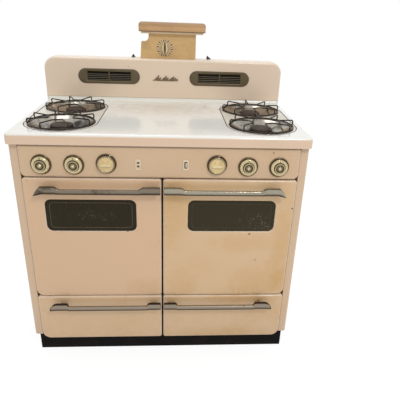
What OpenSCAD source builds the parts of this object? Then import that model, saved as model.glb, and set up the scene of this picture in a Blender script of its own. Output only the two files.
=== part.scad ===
// Freestanding enamelled gas range with two ovens, two drawers, a backguard and a lamp and timer console.
// Millimetres, +Z up, front towards -Y. The origin is on the floor below the middle of the whole range.
// Inside the modules y = 0 is the front edge of the cooktop; place() moves each piece to the origin above.

/* [Overall] */
// Width of the cooktop, side to side
top_w = 1016; // [900:1:1240]
// Height of the cooking surface above the floor
top_h = 925; // [770:1:1110]
// Depth of the cooktop, front edge to back edge
top_d = 632; // [628:1:760]
// Height of the backguard above the cooking surface
guard_h = 177; // [150:1:230]

/* [Sheet metal] */
// Thickness of the enamelled sheet
sheet = 1.5; // [1:0.1:2]
// Roll radius along the front edges of the doors, drawers and control panel
edge_r = 8; // [6:0.5:9]
// Gap between neighbouring front panels
gap = 3; // [3:0.5:5]

/* [Cooktop] */
// Height of the lip round the cooktop
lip_h = 38; // [30:1:46]
// Radius of the rolled top edge of that lip
lip_r = 12; // [6:1:14]
// Overhang of the cooktop past each side panel
side_overhang = 4; // [3:1:8]
// Radius of the outline round one burner
well_r = 125; // [118:1:128]
// Distance from the side edge to a burner's centre
burner_inset = 153; // [145:1:190]
// Distance from the front edge to a front burner's centre
burner_front = 153; // [145:1:180]
// Distance between the front and the back burner
burner_pitch = 258; // [250:1:270]

/* [Grates and burners] */
// Radius of the grate's wire
wire_r = 3; // [2.5:0.5:4]
// Height of the grate's fingers above its ring
finger_h = 18; // [16:1:34]
// Radius of the burner cap
cap_r = 40; // [32:1:46]
// Turn of the right-hand grates on their bowls
grate_turn = 25; // [0:1:45]

/* [Front] */
// Height of the control panel
panel_h = 112; // [100:1:130]
// Height of a drawer front
drawer_h = 199; // [170:1:220]
// Width of the side strip that shows beside the doors
strip_w = 30; // [24:1:40]
// Depth of a door's outer shell
door_d = 26; // [24:0.5:28]
// Width of the gap between the two doors
door_split = 6; // [5:0.5:8]
// Radius of a door's lower outer corner
door_corner_r = 28; // [12:1:50]
// Radius of a drawer's lower outer corner
drawer_corner_r = 32; // [12:1:50]

/* [Windows] */
// Width of an oven window
window_w = 314; // [250:1:330]
// Height of an oven window
window_h = 122; // [90:1:140]
// Distance from the top of the door to the top of the window
window_drop = 78; // [70:1:100]
// Corner radius of a window
window_r = 22; // [10:1:40]

/* [Handles and knobs] */
// Height of a handle's bar
bar_h = 17; // [14:0.5:20]
// Distance that a handle's bar stands in front of the door
bar_reach = 37; // [34:1:50]
// Thickness of a handle's bar, front to back
bar_t = 13; // [10:0.5:14]
// Distance from the control panel's end to the outer knob
knob_end = 72; // [60:1:95]
// Distance between neighbouring knobs
knob_pitch = 107; // [90:1:120]
// Radius of the ring round a knob
bezel_r = 35; // [32:0.5:38]
// Radius of a valve stem
stem_r = 4; // [3:0.5:5]
// Radial clearance of a knob on its stem and of a hinge pin in its eye
run_fit = 0.05; // [0.02:0.01:0.1]

/* [Base] */
// Height of the black base
base_h = 104; // [95:1:130]
// Distance that the base stands back from the cooktop's front edge
base_recess = 58; // [45:1:90]
// Radius of the gas inlet pipe
pipe_r = 10.65; // [6:0.05:14]

/* [Console] */
// Width of the lamp hood
hood_w = 278; // [240:1:320]
// Sideways place of the console's middle
console_x = 31; // [0:1:60]
// Height of the console's column between backguard and lens
column_h = 100; // [80:1:120]
// Radius of the timer's dial
timer_r = 35; // [28:0.5:38]

/* [Hidden] */
$fn = 48;

// small clearances
seat = 0.2;       // a piece that rests on a curved or wire seat
apart = 0.5;      // between pieces of two moving bodies
eps = 0.01;

// widths and front planes
half = top_w / 2 - side_overhang;
front_half = half - strip_w - 2;
strip_x = half - strip_w;
face_y = 9;
side_y = 19;
frame_y = face_y + door_d + 12;
frame_rail = 20;
cab_back = top_d - 7;
back_y = cab_back - 2 * sheet;
inner_x = door_split / 2;

// heights
lip_z = top_h - lip_h;
panel_top = lip_z - gap;
panel_z = panel_top - panel_h;
door_top = panel_z - gap - 1;
drawer_z = base_h - 15;
drawer_top = drawer_z + drawer_h;
door_z = drawer_top + gap;
guard_top = top_h + guard_h;

// backguard
guard_back = top_d - lip_r;
guard_d = 68;
guard_y = guard_back - guard_d;
guard_edge = 10;
guard_corner = 48;
cove_r = 16;
vent_x = 235;
vent_w = 258;
vent_h = 61;
slot_w = 182;
slot_h = 43;
vent_z = top_h + guard_h * 0.58;

// burners
burner_x = top_w / 2 - burner_inset;
burner_ys = [burner_front, burner_front + burner_pitch];
tray_t = 1.5;
tray_z = top_h - 0.5;
bowl_hole_r = 110;
bowl_rim_r = 118;
ring_r = 113;
bowl_floor_r = 47;
bowl_depth = 28;
ring_z = tray_z + 1 + wire_r + seat;

// controls
stem_z = panel_z + 46;
outer_x = front_half - knob_end;
knob_xs = [-outer_x, -(outer_x - knob_pitch), outer_x - knob_pitch, outer_x];
dial_x = outer_x - 2 * knob_pitch;
dial_z = stem_z + 5;
plate_z = stem_z + 3;
plate_x = 80;
plate_w = 20;
plate_h = 38;
bezel_t = 6;
bezel_y = face_y - bezel_t;
knob_h = 15;
knob_bore = 9;
dial_bore = 9;
stem_end = 1;
knob_back = bezel_y - apart;
manifold_y = 78;
manifold_z = stem_z + 4;
valve_y = 33;
mixer_y = 98;
mixer_r = 9;
inlet_x = strip_x - 4;
inlet_end = cab_back + 29;
inlet_len = 28;

// ovens
oven_x0 = 34;
oven_x1 = front_half - 26;
oven_z0 = door_z + 34;
oven_z1 = door_top - 48;
oven_back = guard_y - 22;
oven_floor_z = oven_z0 + 42;
rack_z = oven_z0 + (oven_z1 - oven_z0) * 0.45;
rack_wire = 3;
oven_mid = (oven_x0 + oven_x1) / 2;
supply_x = strip_x + 1;
supply_y = 110;
supply_z = panel_z + 15;

// doors
skin_back = face_y + door_d;
liner_front = skin_back;
liner_back = frame_y - sheet - apart;
pivot_y = face_y + edge_r;
pivot_z = door_z + edge_r + 4;
pin_r = 3;
arm_t = 4;
ear_t = 3;
ear_gap = 0.6;
arm_xs = [inner_x + 45, front_half - 45];
window_mid = (inner_x + front_half) / 2 + 10.5;
window_x0 = window_mid - window_w / 2;
window_x1 = window_mid + window_w / 2;
window_z1 = door_top - window_drop;
window_z0 = window_z1 - window_h;
glass_t = 4;

// drawers
drawer_d = 22;
drawer_back = face_y + drawer_d;
box_x0 = inner_x + 19;
box_x1 = front_half - 14;
rail_z = base_h + 6;
rail_t = 2;
box_z0 = rail_z + rail_t + 0.3;
box_h = drawer_h - 79;
box_end = oven_back - 20;

// handles
handle_end = 42;
handle_y = face_y - bar_reach;
door_bar_z = door_top - 44;
drawer_bar_z = drawer_top - 40;

// console
column_front = guard_back - 35;
column_x1 = console_x + 100;
column_x0 = console_x - 99;
case_x0 = console_x - 135;
lens_z = guard_top + column_h;
hood_z = lens_z + 8;
hood_h = 36;
hood_r = 11;
hood_y0 = guard_back - 67;
timer_z = guard_top + 43;
case_top = guard_top + 66;

// whole range, front to back
front_y = handle_y;
y_mid = (front_y + inlet_end) / 2;

// ---------------------------------------------------------------- helpers

module place() {
    translate([0, -y_mid, 0]) children();
}

// s = 1 keeps the right-hand piece, s = -1 turns it into its left-hand twin
module sided(s) {
    if (s < 0) mirror([1, 0, 0]) children();
    else children();
}

module box(a, b) {
    translate(a) cube(b - a);
}

// 2D (x, z) drawn from y0 back to y1
module along_y(y0, y1) {
    translate([0, y1, 0]) rotate([90, 0, 0]) linear_extrude(y1 - y0) children();
}

// 2D (y, z) drawn from x0 to x1
module along_x(x0, x1) {
    translate([x0, 0, 0]) rotate([90, 0, 90]) linear_extrude(x1 - x0) children();
}

// profile [radius, distance to the front] turned about a line that runs front to back
module turned_y(p) {
    translate(p) rotate([90, 0, 0]) rotate_extrude() children();
}

module rod(a, b, r) {
    v = b - a;
    length = norm(v);
    translate(a) rotate([0, acos(v.z / length), atan2(v.y, v.x)]) cylinder(h = length, r = r);
}

module round_rect(x0, x1, z0, z1, r) {
    for (x = [x0 + r, x1 - r], z = [z0 + r, z1 - r]) translate([x, z]) circle(r);
    translate([x0 + r, z0]) square([x1 - x0 - 2 * r, z1 - z0]);
    translate([x0, z0 + r]) square([x1 - x0, z1 - z0 - 2 * r]);
}

// outline with its own radius at each corner, r = [x0z0, x1z0, x0z1, x1z1]
module corner_outline(x0, x1, z0, z1, r) {
    translate([x0 + r[0], z0 + r[0]]) circle(r[0]);
    translate([x1 - r[1], z0 + r[1]]) circle(r[1]);
    translate([x0 + r[2], z1 - r[2]]) circle(r[2]);
    translate([x1 - r[3], z1 - r[3]]) circle(r[3]);
    polygon([[x0 + r[0], z0], [x1 - r[1], z0], [x1, z0 + r[1]], [x1, z1 - r[3]],
             [x1 - r[3], z1], [x0 + r[2], z1], [x0, z1 - r[2]], [x0, z0 + r[0]]]);
}

module stadium(length, width) {
    for (s = [-1, 1]) translate([s * (length - width) / 2, 0]) circle(width / 2);
    square([length - width, width], center = true);
}

// section of a rolled edge: d deep, with a quarter round of radius e at its face
module edge_section(d, e) {
    translate([0, -d]) square([e, d - e]);
    intersection() {
        translate([0, -e]) circle(e);
        translate([0, -e]) square([e, e]);
    }
}

module edge_run(p, turn, length, d, e) {
    translate(p) rotate([0, 0, turn]) rotate([90, 0, 0]) linear_extrude(length) edge_section(d, e);
}

module rolled_corner(p, turn, d, r, e) {
    translate(p) rotate([0, 0, turn]) rotate_extrude(angle = 90) {
        translate([0, -d]) square([r - e, d]);
        translate([r - e, 0]) edge_section(d, e);
    }
}

// slab with its face at z = 0, d deep, corner radii r = [x0y0, x1y0, x0y1, x1y1], rolled by e round its face
module rolled_slab(x0, x1, y0, y1, d, r, e) {
    translate([0, 0, -d]) linear_extrude(d) polygon([
        [x0 + r[0], y0 + e], [x1 - r[1], y0 + e], [x1 - r[1], y0 + r[1]], [x1 - e, y0 + r[1]],
        [x1 - e, y1 - r[3]], [x1 - r[3], y1 - r[3]], [x1 - r[3], y1 - e], [x0 + r[2], y1 - e],
        [x0 + r[2], y1 - r[2]], [x0 + e, y1 - r[2]], [x0 + e, y0 + r[0]], [x0 + r[0], y0 + r[0]]]);
    edge_run([x1 - e, y1 - r[3], 0], 0, y1 - y0 - r[3] - r[1], d, e);
    edge_run([x1 - r[1], y0 + e, 0], -90, x1 - x0 - r[0] - r[1], d, e);
    edge_run([x0 + e, y0 + r[0], 0], 180, y1 - y0 - r[0] - r[2], d, e);
    edge_run([x0 + r[2], y1 - e, 0], 90, x1 - x0 - r[2] - r[3], d, e);
    rolled_corner([x0 + r[0], y0 + r[0], 0], 180, d, r[0], e);
    rolled_corner([x1 - r[1], y0 + r[1], 0], 270, d, r[1], e);
    rolled_corner([x0 + r[2], y1 - r[2], 0], 90, d, r[2], e);
    rolled_corner([x1 - r[3], y1 - r[3], 0], 0, d, r[3], e);
}

// pressed pan: the slab above as a shell, open behind
module pan(x0, x1, y0, y1, d, r, e, t = sheet) {
    difference() {
        rolled_slab(x0, x1, y0, y1, d, r, e);
        translate([0, 0, -t])
            rolled_slab(x0 + t, x1 - t, y0 + t, y1 - t, d, [for (k = r) k - t], e - t);
    }
}

// the same pan as a front: (x, z) with its face towards -Y at y = y0
module front_pan(y0, x0, x1, z0, z1, d, r, e) {
    translate([0, y0, 0]) rotate([90, 0, 0]) pan(x0, x1, z0, z1, d, r, e);
}

// rectangular ring in the XY plane
module ring_frame(a, b, wall) {
    difference() {
        box(a, b);
        box([a.x + wall, a.y + wall, a.z - 1], [b.x - wall, b.y - wall, b.z + 1]);
    }
}

// ---------------------------------------------------------------- cabinet

module toe_base() {
    a = [-(half - 6), base_recess, 0];
    b = [half - 6, cab_back - 6, base_h];
    color("#151210") place() {
        ring_frame(a, b, sheet);
        ring_frame(a, [b.x, b.y, sheet], 22);
        ring_frame([a.x, a.y, base_h - sheet], b, 26);
    }
}

// wrapped side: front strip, rounded front edge, inner return, back flange, stepped top flange
module side_panel(s) {
    corner = 12;
    flange = 16;
    ledge_z = top_h - lip_r;
    color("#d2b498") place() sided(s) {
        translate([0, 0, base_h]) linear_extrude(ledge_z - base_h) {
            translate([half - sheet, side_y + corner]) square([sheet, cab_back - side_y - corner]);
            translate([strip_x, side_y]) square([strip_w - corner, sheet]);
            translate([strip_x, side_y]) square([sheet, frame_y - side_y]);
            translate([half - flange, cab_back - sheet]) square([flange, sheet]);
            intersection() {
                difference() {
                    translate([half - corner, side_y + corner]) circle(corner);
                    translate([half - corner, side_y + corner]) circle(corner - sheet);
                }
                translate([half - corner, side_y]) square([corner, corner]);
            }
        }
        box([half - flange, frame_y, ledge_z - sheet], [half - sheet / 2, back_y, ledge_z]);
        box([half - flange, frame_y, ledge_z - sheet], [half - flange + sheet, back_y - 4, top_h - sheet]);
        box([half - flange, frame_y + frame_rail + 1, base_h], [half - sheet / 2, back_y, base_h + sheet]);
    }
}

module back_panel() {
    slot_pitch = 34;
    color("#8d8a84") place() difference() {
        box([-(half - 4), back_y, base_h + 2 * sheet], [half - 4, back_y + sheet, top_h - 4 * sheet]);
        translate([inlet_x, back_y - 1, manifold_z]) rotate([-90, 0, 0]) cylinder(h = 4, r = pipe_r + 2);
        for (x = [-1, 1], k = [0:5])
            along_y(back_y - 1, back_y + 4)
                translate([x * vent_x, base_h + 120 + slot_pitch * k]) stadium(200, 9);
    }
}

module front_frame() {
    x1 = half - 2;
    z1 = panel_z - 2;
    color("#3a3632") place() {
        difference() {
            union() {
                box([-x1, frame_y, base_h], [x1, frame_y + sheet, z1]);
                ring_frame_y([-x1, frame_y, base_h], [x1, frame_y + frame_rail, z1], sheet);
            }
            for (s = [-1, 1]) sided(s) {
                box([inner_x + 12, frame_y - 1, base_h + 4], [front_half - 6, frame_y + 3, drawer_top - 12]);
                box([oven_x0 - sheet, frame_y - 1, oven_z0 - sheet],
                    [oven_x1 + sheet, frame_y + 3, oven_z1 + sheet]);
            }
        }
        for (s = [-1, 1]) sided(s)
            box([inner_x + 2, frame_y + sheet, drawer_top + 10],
                [x1 - sheet, frame_y + frame_rail, drawer_top + 10 + sheet]);
    }
}

// rectangular ring in the XZ plane
module ring_frame_y(a, b, wall) {
    difference() {
        box(a, b);
        box([a.x + wall, a.y - 1, a.z + wall], [b.x - wall, b.y + 1, b.z - wall]);
    }
}

// ---------------------------------------------------------------- cooktop

module well_outline(r) {
    for (y = burner_ys) translate([0, y]) circle(r);
    translate([-r, burner_ys[0]]) square([2 * r, burner_pitch]);
}

module at_wells() {
    for (s = [-1, 1]) translate([s * burner_x, 0, 0]) children();
}

module at_burners() {
    for (s = [-1, 1], y = burner_ys) translate([s * burner_x, y, 0]) children();
}

module cooktop() {
    front_r = lip_r + 5;
    back_r = lip_r + 1;
    well_z = tray_z - tray_t - sheet;
    color("#e6e4dc") place() difference() {
        union() {
            translate([0, 0, top_h])
                pan(-top_w / 2, top_w / 2, 0, top_d, lip_h, [front_r, front_r, back_r, back_r], lip_r);
            at_wells() translate([0, 0, well_z]) linear_extrude(top_h - well_z - eps)
                well_outline(well_r + 1 + sheet);
        }
        at_wells() translate([0, 0, tray_z - tray_t]) linear_extrude(10) well_outline(well_r + 1);
        at_wells() translate([0, 0, top_h - 20]) linear_extrude(40) well_outline(well_r - 7);
        for (s = [-1, 1]) sided(s)
            box([vent_x - 104, guard_y + 14, top_h - 10], [vent_x + 104, guard_back - 2, top_h + 10]);
    }
}

module burner_trays() {
    color("#e9e4d8") place() at_wells() translate([0, 0, tray_z - tray_t]) linear_extrude(tray_t)
        difference() {
            well_outline(well_r);
            for (y = burner_ys) translate([0, y]) circle(bowl_hole_r);
        }
}

// thin dish under each burner: a flat rim, a sloping wall and a flat floor with the burner's hole
module drip_bowls() {
    t = 0.8;
    mouth_r = bowl_hole_r - 2;
    foot_r = bowl_floor_r + 14;
    color("#b9b6ae") place() at_burners() translate([0, 0, tray_z]) difference() {
        union() {
            cylinder(h = t, r = bowl_rim_r);
            translate([0, 0, -bowl_depth]) cylinder(h = bowl_depth, r1 = foot_r, r2 = mouth_r);
        }
        translate([0, 0, t - bowl_depth]) cylinder(h = bowl_depth + eps, r1 = foot_r - t, r2 = mouth_r - t);
        translate([0, 0, -bowl_depth - 1]) cylinder(h = bowl_depth + 5, r = bowl_floor_r);
    }
}

// wire grate: a ring and four hairpin fingers, each two feet wide at the ring and narrow at its tip
module grate(x, y, turn) {
    spread = 24;
    tip_r = 44;
    tip_half = 16;
    lean = 2;
    finger_r = wire_r - 0.3;
    foot = [ring_r * cos(spread), ring_r * sin(spread), 0];
    knee = [foot.x + lean, foot.y, finger_h];
    tip = [tip_r, tip_half, finger_h - 3];
    color("#2b2723") place() translate([x, y, ring_z]) rotate([0, 0, turn]) {
        rotate_extrude() translate([ring_r, 0]) circle(wire_r);
        for (quarter = [0:3]) rotate([0, 0, 90 * quarter]) {
            for (s = [-1, 1]) {
                rod([foot.x, s * foot.y, 0], [knee.x, s * knee.y, knee.z], finger_r);
                rod([knee.x, s * knee.y, knee.z], [tip.x, s * tip.y, tip.z], finger_r);
                translate([knee.x, s * knee.y, knee.z]) sphere(wire_r + 0.1);
            }
            rod([tip.x, -tip.y - 2, tip.z], [tip.x, tip.y + 2, tip.z], wire_r);
        }
    }
}

// cast head and loose cap of each burner, with the mixing tube that runs forward to its valve
module burners() {
    head_z = top_h - 62;
    cap_z = top_h - 14;
    port_r = cap_r - 5;
    color("#3b342d") place() for (s = [-1, 1], k = [0, 1]) {
        x = s * burner_x;
        y = burner_ys[k];
        valve_x = s * (k == 0 ? knob_xs[3] : knob_xs[2]);
        difference() {
            union() {
                translate([x, y, head_z]) cylinder(h = cap_z - head_z, r1 = port_r - 8, r2 = port_r);
                rod([x, y, head_z + 12.6], [valve_x, mixer_y + 4, stem_z], 11);
                rod([valve_x, mixer_y + 10, stem_z], [valve_x, mixer_y, stem_z], 13);
            }
            translate([x, y, cap_z - 26]) cylinder(h = 30, r = port_r - 10);
            rod([valve_x, mixer_y - 12, stem_z], [valve_x, mixer_y + 14, stem_z], mixer_r);
        }
        translate([x, y, cap_z]) rotate_extrude()
            polygon([[0, 0], [cap_r, 0], [cap_r, 5], [cap_r - 3, 8], [cap_r * 0.55, 10.5], [12, 9.5],
                     [0, 9.5]]);
    }
}

// ---------------------------------------------------------------- gas

module gas_manifold() {
    a = [knob_xs[0] - 16, manifold_y, manifold_z];
    elbow = [inlet_x, manifold_y, manifold_z];
    color("#4a443c") place() {
        rod(a, elbow, pipe_r);
        translate(elbow) sphere(pipe_r + 0.5);
        rod(elbow, [inlet_x, inlet_end - inlet_len, manifold_z], pipe_r - 1);
        rod([inlet_x, inlet_end - inlet_len, manifold_z], [inlet_x, inlet_end, manifold_z], pipe_r);
        rod(a - [6, 0, 0], a + [2, 0, 0], pipe_r + 3);
    }
}

// valve body in front of the manifold, its nipple, and its stem that reaches into the knob
module valve(x, z, body_r, reach) {
    rod([x, valve_y, z], [x, valve_y + 32, z], body_r);
    rod([x, valve_y + 30, z], [x, manifold_y - pipe_r + 2, z], 6);
    rod([x, knob_back - reach, z], [x, valve_y + 2, z], stem_r);
}

module burner_valves() {
    color("#b08d4c") place() for (x = knob_xs) {
        valve(x, stem_z, 12, knob_bore - stem_end);
        rod([x, manifold_y + pipe_r - 2, stem_z], [x, mixer_y + 8, stem_z], 4);
        rod([x, mixer_y - 5, stem_z], [x, mixer_y + 6, stem_z], mixer_r - seat);
    }
}

module oven_valves() {
    color("#b08d4c") place() for (s = [-1, 1]) sided(s) {
        valve(dial_x, dial_z, 17, dial_bore - stem_end);
        rod([dial_x, valve_y + 16, stem_z - 8], [dial_x, valve_y + 16, supply_z], 5);
        rod([dial_x, valve_y + 16, supply_z], [dial_x, supply_y, supply_z], 5);
        translate([dial_x, valve_y + 16, supply_z]) sphere(5.02, $fn = 24);
    }
}

// pipe burner in each oven's base, fed by a line that comes down beside the liner
module oven_burners() {
    z = oven_z0 + 20;
    path = [[dial_x, supply_y + 5.2, supply_z], [supply_x, supply_y + 5.2, supply_z],
            [supply_x, supply_y + 5.2, z], [oven_mid, supply_y + 5.2, z]];
    color("#554c42") place() for (s = [-1, 1]) sided(s) {
        for (k = [0:2]) rod(path[k], path[k + 1], 5);
        for (k = [1, 2]) translate(path[k]) sphere(5.02, $fn = 24);
        rod([oven_mid, 90, z], [oven_mid, oven_back - 40, z], 13);
    }
}

// ---------------------------------------------------------------- ovens

module oven_liner(s) {
    a = [oven_x0, frame_y, oven_z0];
    b = [oven_x1, oven_back, oven_z1];
    lip = 9;
    ledge = 14;
    color("#3f444b") place() sided(s) difference() {
        union() {
            box(a, b);
            box([a.x - lip, frame_y - sheet, a.z - lip], [b.x + lip, frame_y, b.z + lip]);
        }
        difference() {
            box([a.x + sheet, frame_y - 5, a.z + sheet], [b.x - sheet, b.y - sheet, b.z - sheet]);
            for (z = [oven_floor_z - 3, rack_z - rack_wire - seat - 3, rack_z + 77])
                for (x = [a.x, b.x - ledge])
                    box([x, frame_y + 20, z], [x + ledge, b.y, z + 3]);
        }
        rod([b.x - 5, supply_y + 5.2, oven_z0 + 20], [b.x + 5, supply_y + 5.2, oven_z0 + 20], 7);
        box([oven_mid - 60, b.y - 5, b.z - 50], [oven_mid + 60, b.y + 5, b.z - 20]);
    }
}

module oven_floors() {
    color("#34322f") place() for (s = [-1, 1]) sided(s) difference() {
        box([oven_x0 + 3, frame_y + 24, oven_floor_z + 0.1],
            [oven_x1 - 3, oven_back - 4, oven_floor_z + 0.1 + sheet]);
        for (x = [oven_x0 + 20, oven_x1 - 28], y = [90:60:oven_back - 60])
            box([x, y, oven_floor_z - 1], [x + 8, y + 36, oven_floor_z + 4]);
    }
}

module oven_racks() {
    x0 = oven_x0 + 9;
    x1 = oven_x1 - 9;
    y0 = frame_y + 26;
    y1 = oven_back - 8;
    bars = 13;
    color("#8f8c86") place() for (s = [-1, 1]) sided(s) {
        for (x = [x0, x1]) rod([x, y0, rack_z], [x, y1, rack_z], rack_wire);
        for (y = [y0, y1]) rod([x0 - 5, y, rack_z], [x1 + 5, y, rack_z], rack_wire - 0.3);
        for (k = [1:bars]) {
            x = x0 + (x1 - x0) * k / (bars + 1);
            rod([x, y0, rack_z + 1], [x, y1, rack_z + 1], 1.8);
        }
    }
}

module flue_ducts() {
    y0 = oven_back + 0.2;
    z0 = oven_z1 - 60;
    z1 = vent_z - 40;
    color("#77736c") place() for (s = [-1, 1]) sided(s) difference() {
        union() {
            box([vent_x - 100, guard_y + 16, z0], [vent_x + 100, guard_back - 4, z1]);
            box([oven_mid - 70, y0, oven_z1 - 56], [oven_mid + 70, guard_y + 20, oven_z1 - 14]);
        }
        box([vent_x - 99, guard_y + 17, z0 + 1], [vent_x + 99, guard_back - 5, z1 + 5]);
        box([oven_mid - 69, y0 - 5, oven_z1 - 55], [oven_mid + 69, guard_y + 22, oven_z1 - 15]);
    }
}

// ---------------------------------------------------------------- backguard

module backguard() {
    low = guard_edge + 2;
    color("#d8c2ab") place() {
        difference() {
            front_pan(guard_y, -half, half, top_h - 30, guard_top, guard_d,
                      [low, low, guard_corner, guard_corner], guard_edge);
            box([-half - 1, guard_y - 1, top_h - 40], [half + 1, guard_back + 1, top_h]);
            for (s = [-1, 1])
                along_y(guard_y - 1, guard_y + 5) translate([s * vent_x, vent_z])
                    square([slot_w + 14, slot_h + 6], center = true);
        }
        along_x(-half + guard_edge, half - guard_edge) difference() {
            translate([guard_y - cove_r, top_h]) square([cove_r + 0.5, cove_r]);
            translate([guard_y - cove_r, top_h + cove_r]) circle(cove_r - 0.01);
        }
    }
}

module backguard_cover() {
    y0 = guard_back;
    color("#8d8a84") place() difference() {
        along_y(y0, y0 + sheet) difference() {
            round_rect(-half + 2, half - 2, top_h - 60, guard_top - 2, guard_corner - 2);
            translate([-half, top_h - 100]) square([2 * half, 100 + 0.2]);
        }
        for (s = [-1, 1], k = [0:3])
            along_y(y0 - 1, y0 + 4) translate([s * vent_x, top_h + 60 + 22 * k]) stadium(180, 8);
    }
}

// oval frame with a louvred slot on each side of a centre bar
module vent_grilles() {
    blades = 5;
    proud = 3;
    color("#6a5b4b") place() for (s = [-1, 1]) translate([s * vent_x, 0, vent_z]) {
        difference() {
            along_y(guard_y - proud, guard_y) stadium(vent_w, vent_h);
            along_y(guard_y - proud - 1, guard_y + 1) square([slot_w, slot_h], center = true);
        }
        along_y(guard_y - proud, guard_y + 8) square([5, slot_h], center = true);
        for (side = [-1, 1])
            box([side * slot_w / 2 - (side > 0 ? 0 : 1.5), guard_y - proud + 0.5, -slot_h / 2],
                [side * slot_w / 2 + (side > 0 ? 1.5 : 0), guard_y + 8, slot_h / 2]);
        for (k = [1:blades])
            translate([0, guard_y + 2, -slot_h / 2 + slot_h * k / (blades + 1)]) rotate([28, 0, 0])
                cube([slot_w, 9, 1.4], center = true);
    }
}

// plain winged bar in the middle of the backguard
module ornament_bar() {
    color("#7d6d5a") place() translate([3, 0, vent_z - 4]) {
        along_y(guard_y - 3, guard_y) {
            stadium(112, 8);
            translate([-6, 9.5]) stadium(70, 7);
            translate([-4, -9.5]) stadium(70, 7);
            translate([-14, -10]) square([28, 20]);
        }
    }
}

// ---------------------------------------------------------------- controls

module control_panel() {
    r = edge_r + 1;
    color("#d3b59a") place() {
        difference() {
            front_pan(face_y, -front_half, front_half, panel_z, panel_top, 22, [18, 18, r, r], edge_r);
            for (x = knob_xs) turned_y([x, face_y + 5, stem_z]) translate([0, -1]) square([stem_r + 3, 8]);
            for (s = [-1, 1]) turned_y([s * dial_x, face_y + 5, dial_z]) translate([0, -1])
                square([stem_r + 3, 8]);
            along_y(face_y - 1, face_y + 5) translate([plate_x, plate_z]) square([10, 24], center = true);
            along_y(face_y - 1, face_y + 5) translate([-plate_x, plate_z]) square([14, 28], center = true);
        }
        for (s = [-1, 1]) sided(s)
            box([front_half - sheet, face_y + 16, panel_z + 26],
                [strip_x, face_y + 16 + sheet, panel_top - 26]);
    }
}

// stepped chrome ring round each knob and dial
module bezel(x, z) {
    hole = stem_r + 5;
    turned_y([x, face_y, z]) polygon([
        [hole, 0], [bezel_r, 0], [bezel_r, 1.5], [bezel_r - 2, 3], [bezel_r - 4.5, 3],
        [bezel_r - 5.5, bezel_t], [hole, bezel_t]]);
}

module knob_bezels() {
    color("#8f877a") place() {
        for (x = knob_xs) bezel(x, stem_z);
        for (s = [-1, 1]) bezel(s * dial_x, dial_z);
    }
}

// burner knob: wide skirt, low boss, cupped face with a button, and a raised pointer on the skirt
module burner_knob(x) {
    skirt = bezel_r - 6;
    color("#a99a80") place() {
        turned_y([x, knob_back, stem_z]) difference() {
            polygon([[0, 0], [skirt, 0], [skirt + 1, 2], [skirt - 1, 5], [24, 7], [19.5, 8],
                     [18.5, 12.5], [17.5, 14], [15, 14.4], [12.5, 13], [11.5, 11], [7, 11],
                     [6.5, 13.5], [5, knob_h], [0, knob_h]]);
            translate([0, -1]) square([stem_r + run_fit, knob_bore + 1]);
        }
        translate([x, knob_back, stem_z]) box([-1.2, -7.8, 19.5], [1.2, -5, skirt - 2]);
    }
}

// oven dial: domed ivory face in a chrome rim, with a grip bar across it
module oven_dial(s) {
    rim = bezel_r - 5.5;
    color("#d9c79a") place() sided(s) {
        turned_y([dial_x, knob_back, dial_z]) difference() {
            polygon([[0, 0], [rim, 0], [rim, 6], [rim - 2, 8], [rim - 4, 8.4], [rim - 9, 10.5], [10, 12],
                     [0, 12]]);
            translate([0, -1]) square([stem_r + run_fit, dial_bore + 1]);
        }
        along_y(knob_back - 20, knob_back - 11) translate([dial_x, dial_z]) stadium(38, 9);
    }
}

// switch plate with a slot for its rocker
module switch_plate() {
    color("#e2d0b6") place() difference() {
        along_y(face_y - 2, face_y) translate([plate_x, plate_z]) square([plate_w, plate_h], center = true);
        along_y(face_y - 3, face_y + 1) translate([plate_x, plate_z]) square([9, 23], center = true);
    }
}

module switch_rocker() {
    color("#efe6d2") place() translate([plate_x, face_y + 2, plate_z]) along_x(-4, 4)
        polygon([[-5, -10], [-6.5, 10], [5, 6], [5, -6]]);
}

// plate with two pairs of slots, and the outlet's body behind the panel
module outlet_plate() {
    color("#d8bfa2") place() difference() {
        union() {
            along_y(face_y - 2, face_y)
                translate([-plate_x, plate_z]) square([plate_w, plate_h], center = true);
            along_y(face_y, face_y + 18) translate([-plate_x, plate_z]) square([13, 27], center = true);
        }
        for (z = [-6, 6], dz = [-2, 2])
            along_y(face_y - 3, face_y + 12)
                translate([-plate_x, plate_z + z + dz]) square([7, 1.6], center = true);
    }
}

// ---------------------------------------------------------------- console

// outline of the column: timer case below, narrower neck above, the case reaching further left
module column_outline(i) {
    top = hood_z + hood_h - hood_r - i;
    polygon(concat(
        [[case_x0 + i, guard_top], [column_x1 - i, guard_top], [column_x1 - i, top],
         [column_x0 + i, top], [column_x0 + i, case_top + 22]],
        [for (k = [0:5]) [column_x0 - 22 + (22 + i) * cos(15 * k), case_top + 22 - (22 + i) * sin(15 * k)]],
        [[case_x0 + 5 + i, case_top - i]]));
}

// folded box, open behind, whose front runs up to a flange under the hood
module lamp_column() {
    under = hood_z + hood_h - sheet;
    color("#c9a56d") place() {
        difference() {
            along_y(column_front, guard_back) column_outline(0);
            along_y(column_front + sheet, guard_back + 1) column_outline(sheet);
            turned_y([0, column_front + 3, timer_z]) translate([0, -1]) square([8, 6]);
        }
        box([column_x0, column_front, hood_z + hood_h - hood_r - sheet],
            [column_x1, column_front + sheet, under]);
        box([column_x0, column_front, under - sheet], [column_x1, column_front + 24, under]);
    }
}

module lamp_hood() {
    x0 = console_x - hood_w / 2;
    color("#b58d62") place() translate([0, 0, hood_z + hood_h])
        pan(x0, x0 + hood_w, hood_y0, guard_back + 6, hood_h, [14, 14, 14, 14], hood_r);
}

module lamp_lens() {
    x0 = console_x - hood_w / 2 + 10;
    color("#e8d6b8") place()
        box([x0, hood_y0 + 8, lens_z], [x0 + hood_w - 20, column_front - apart, lens_z + 12]);
}

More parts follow.
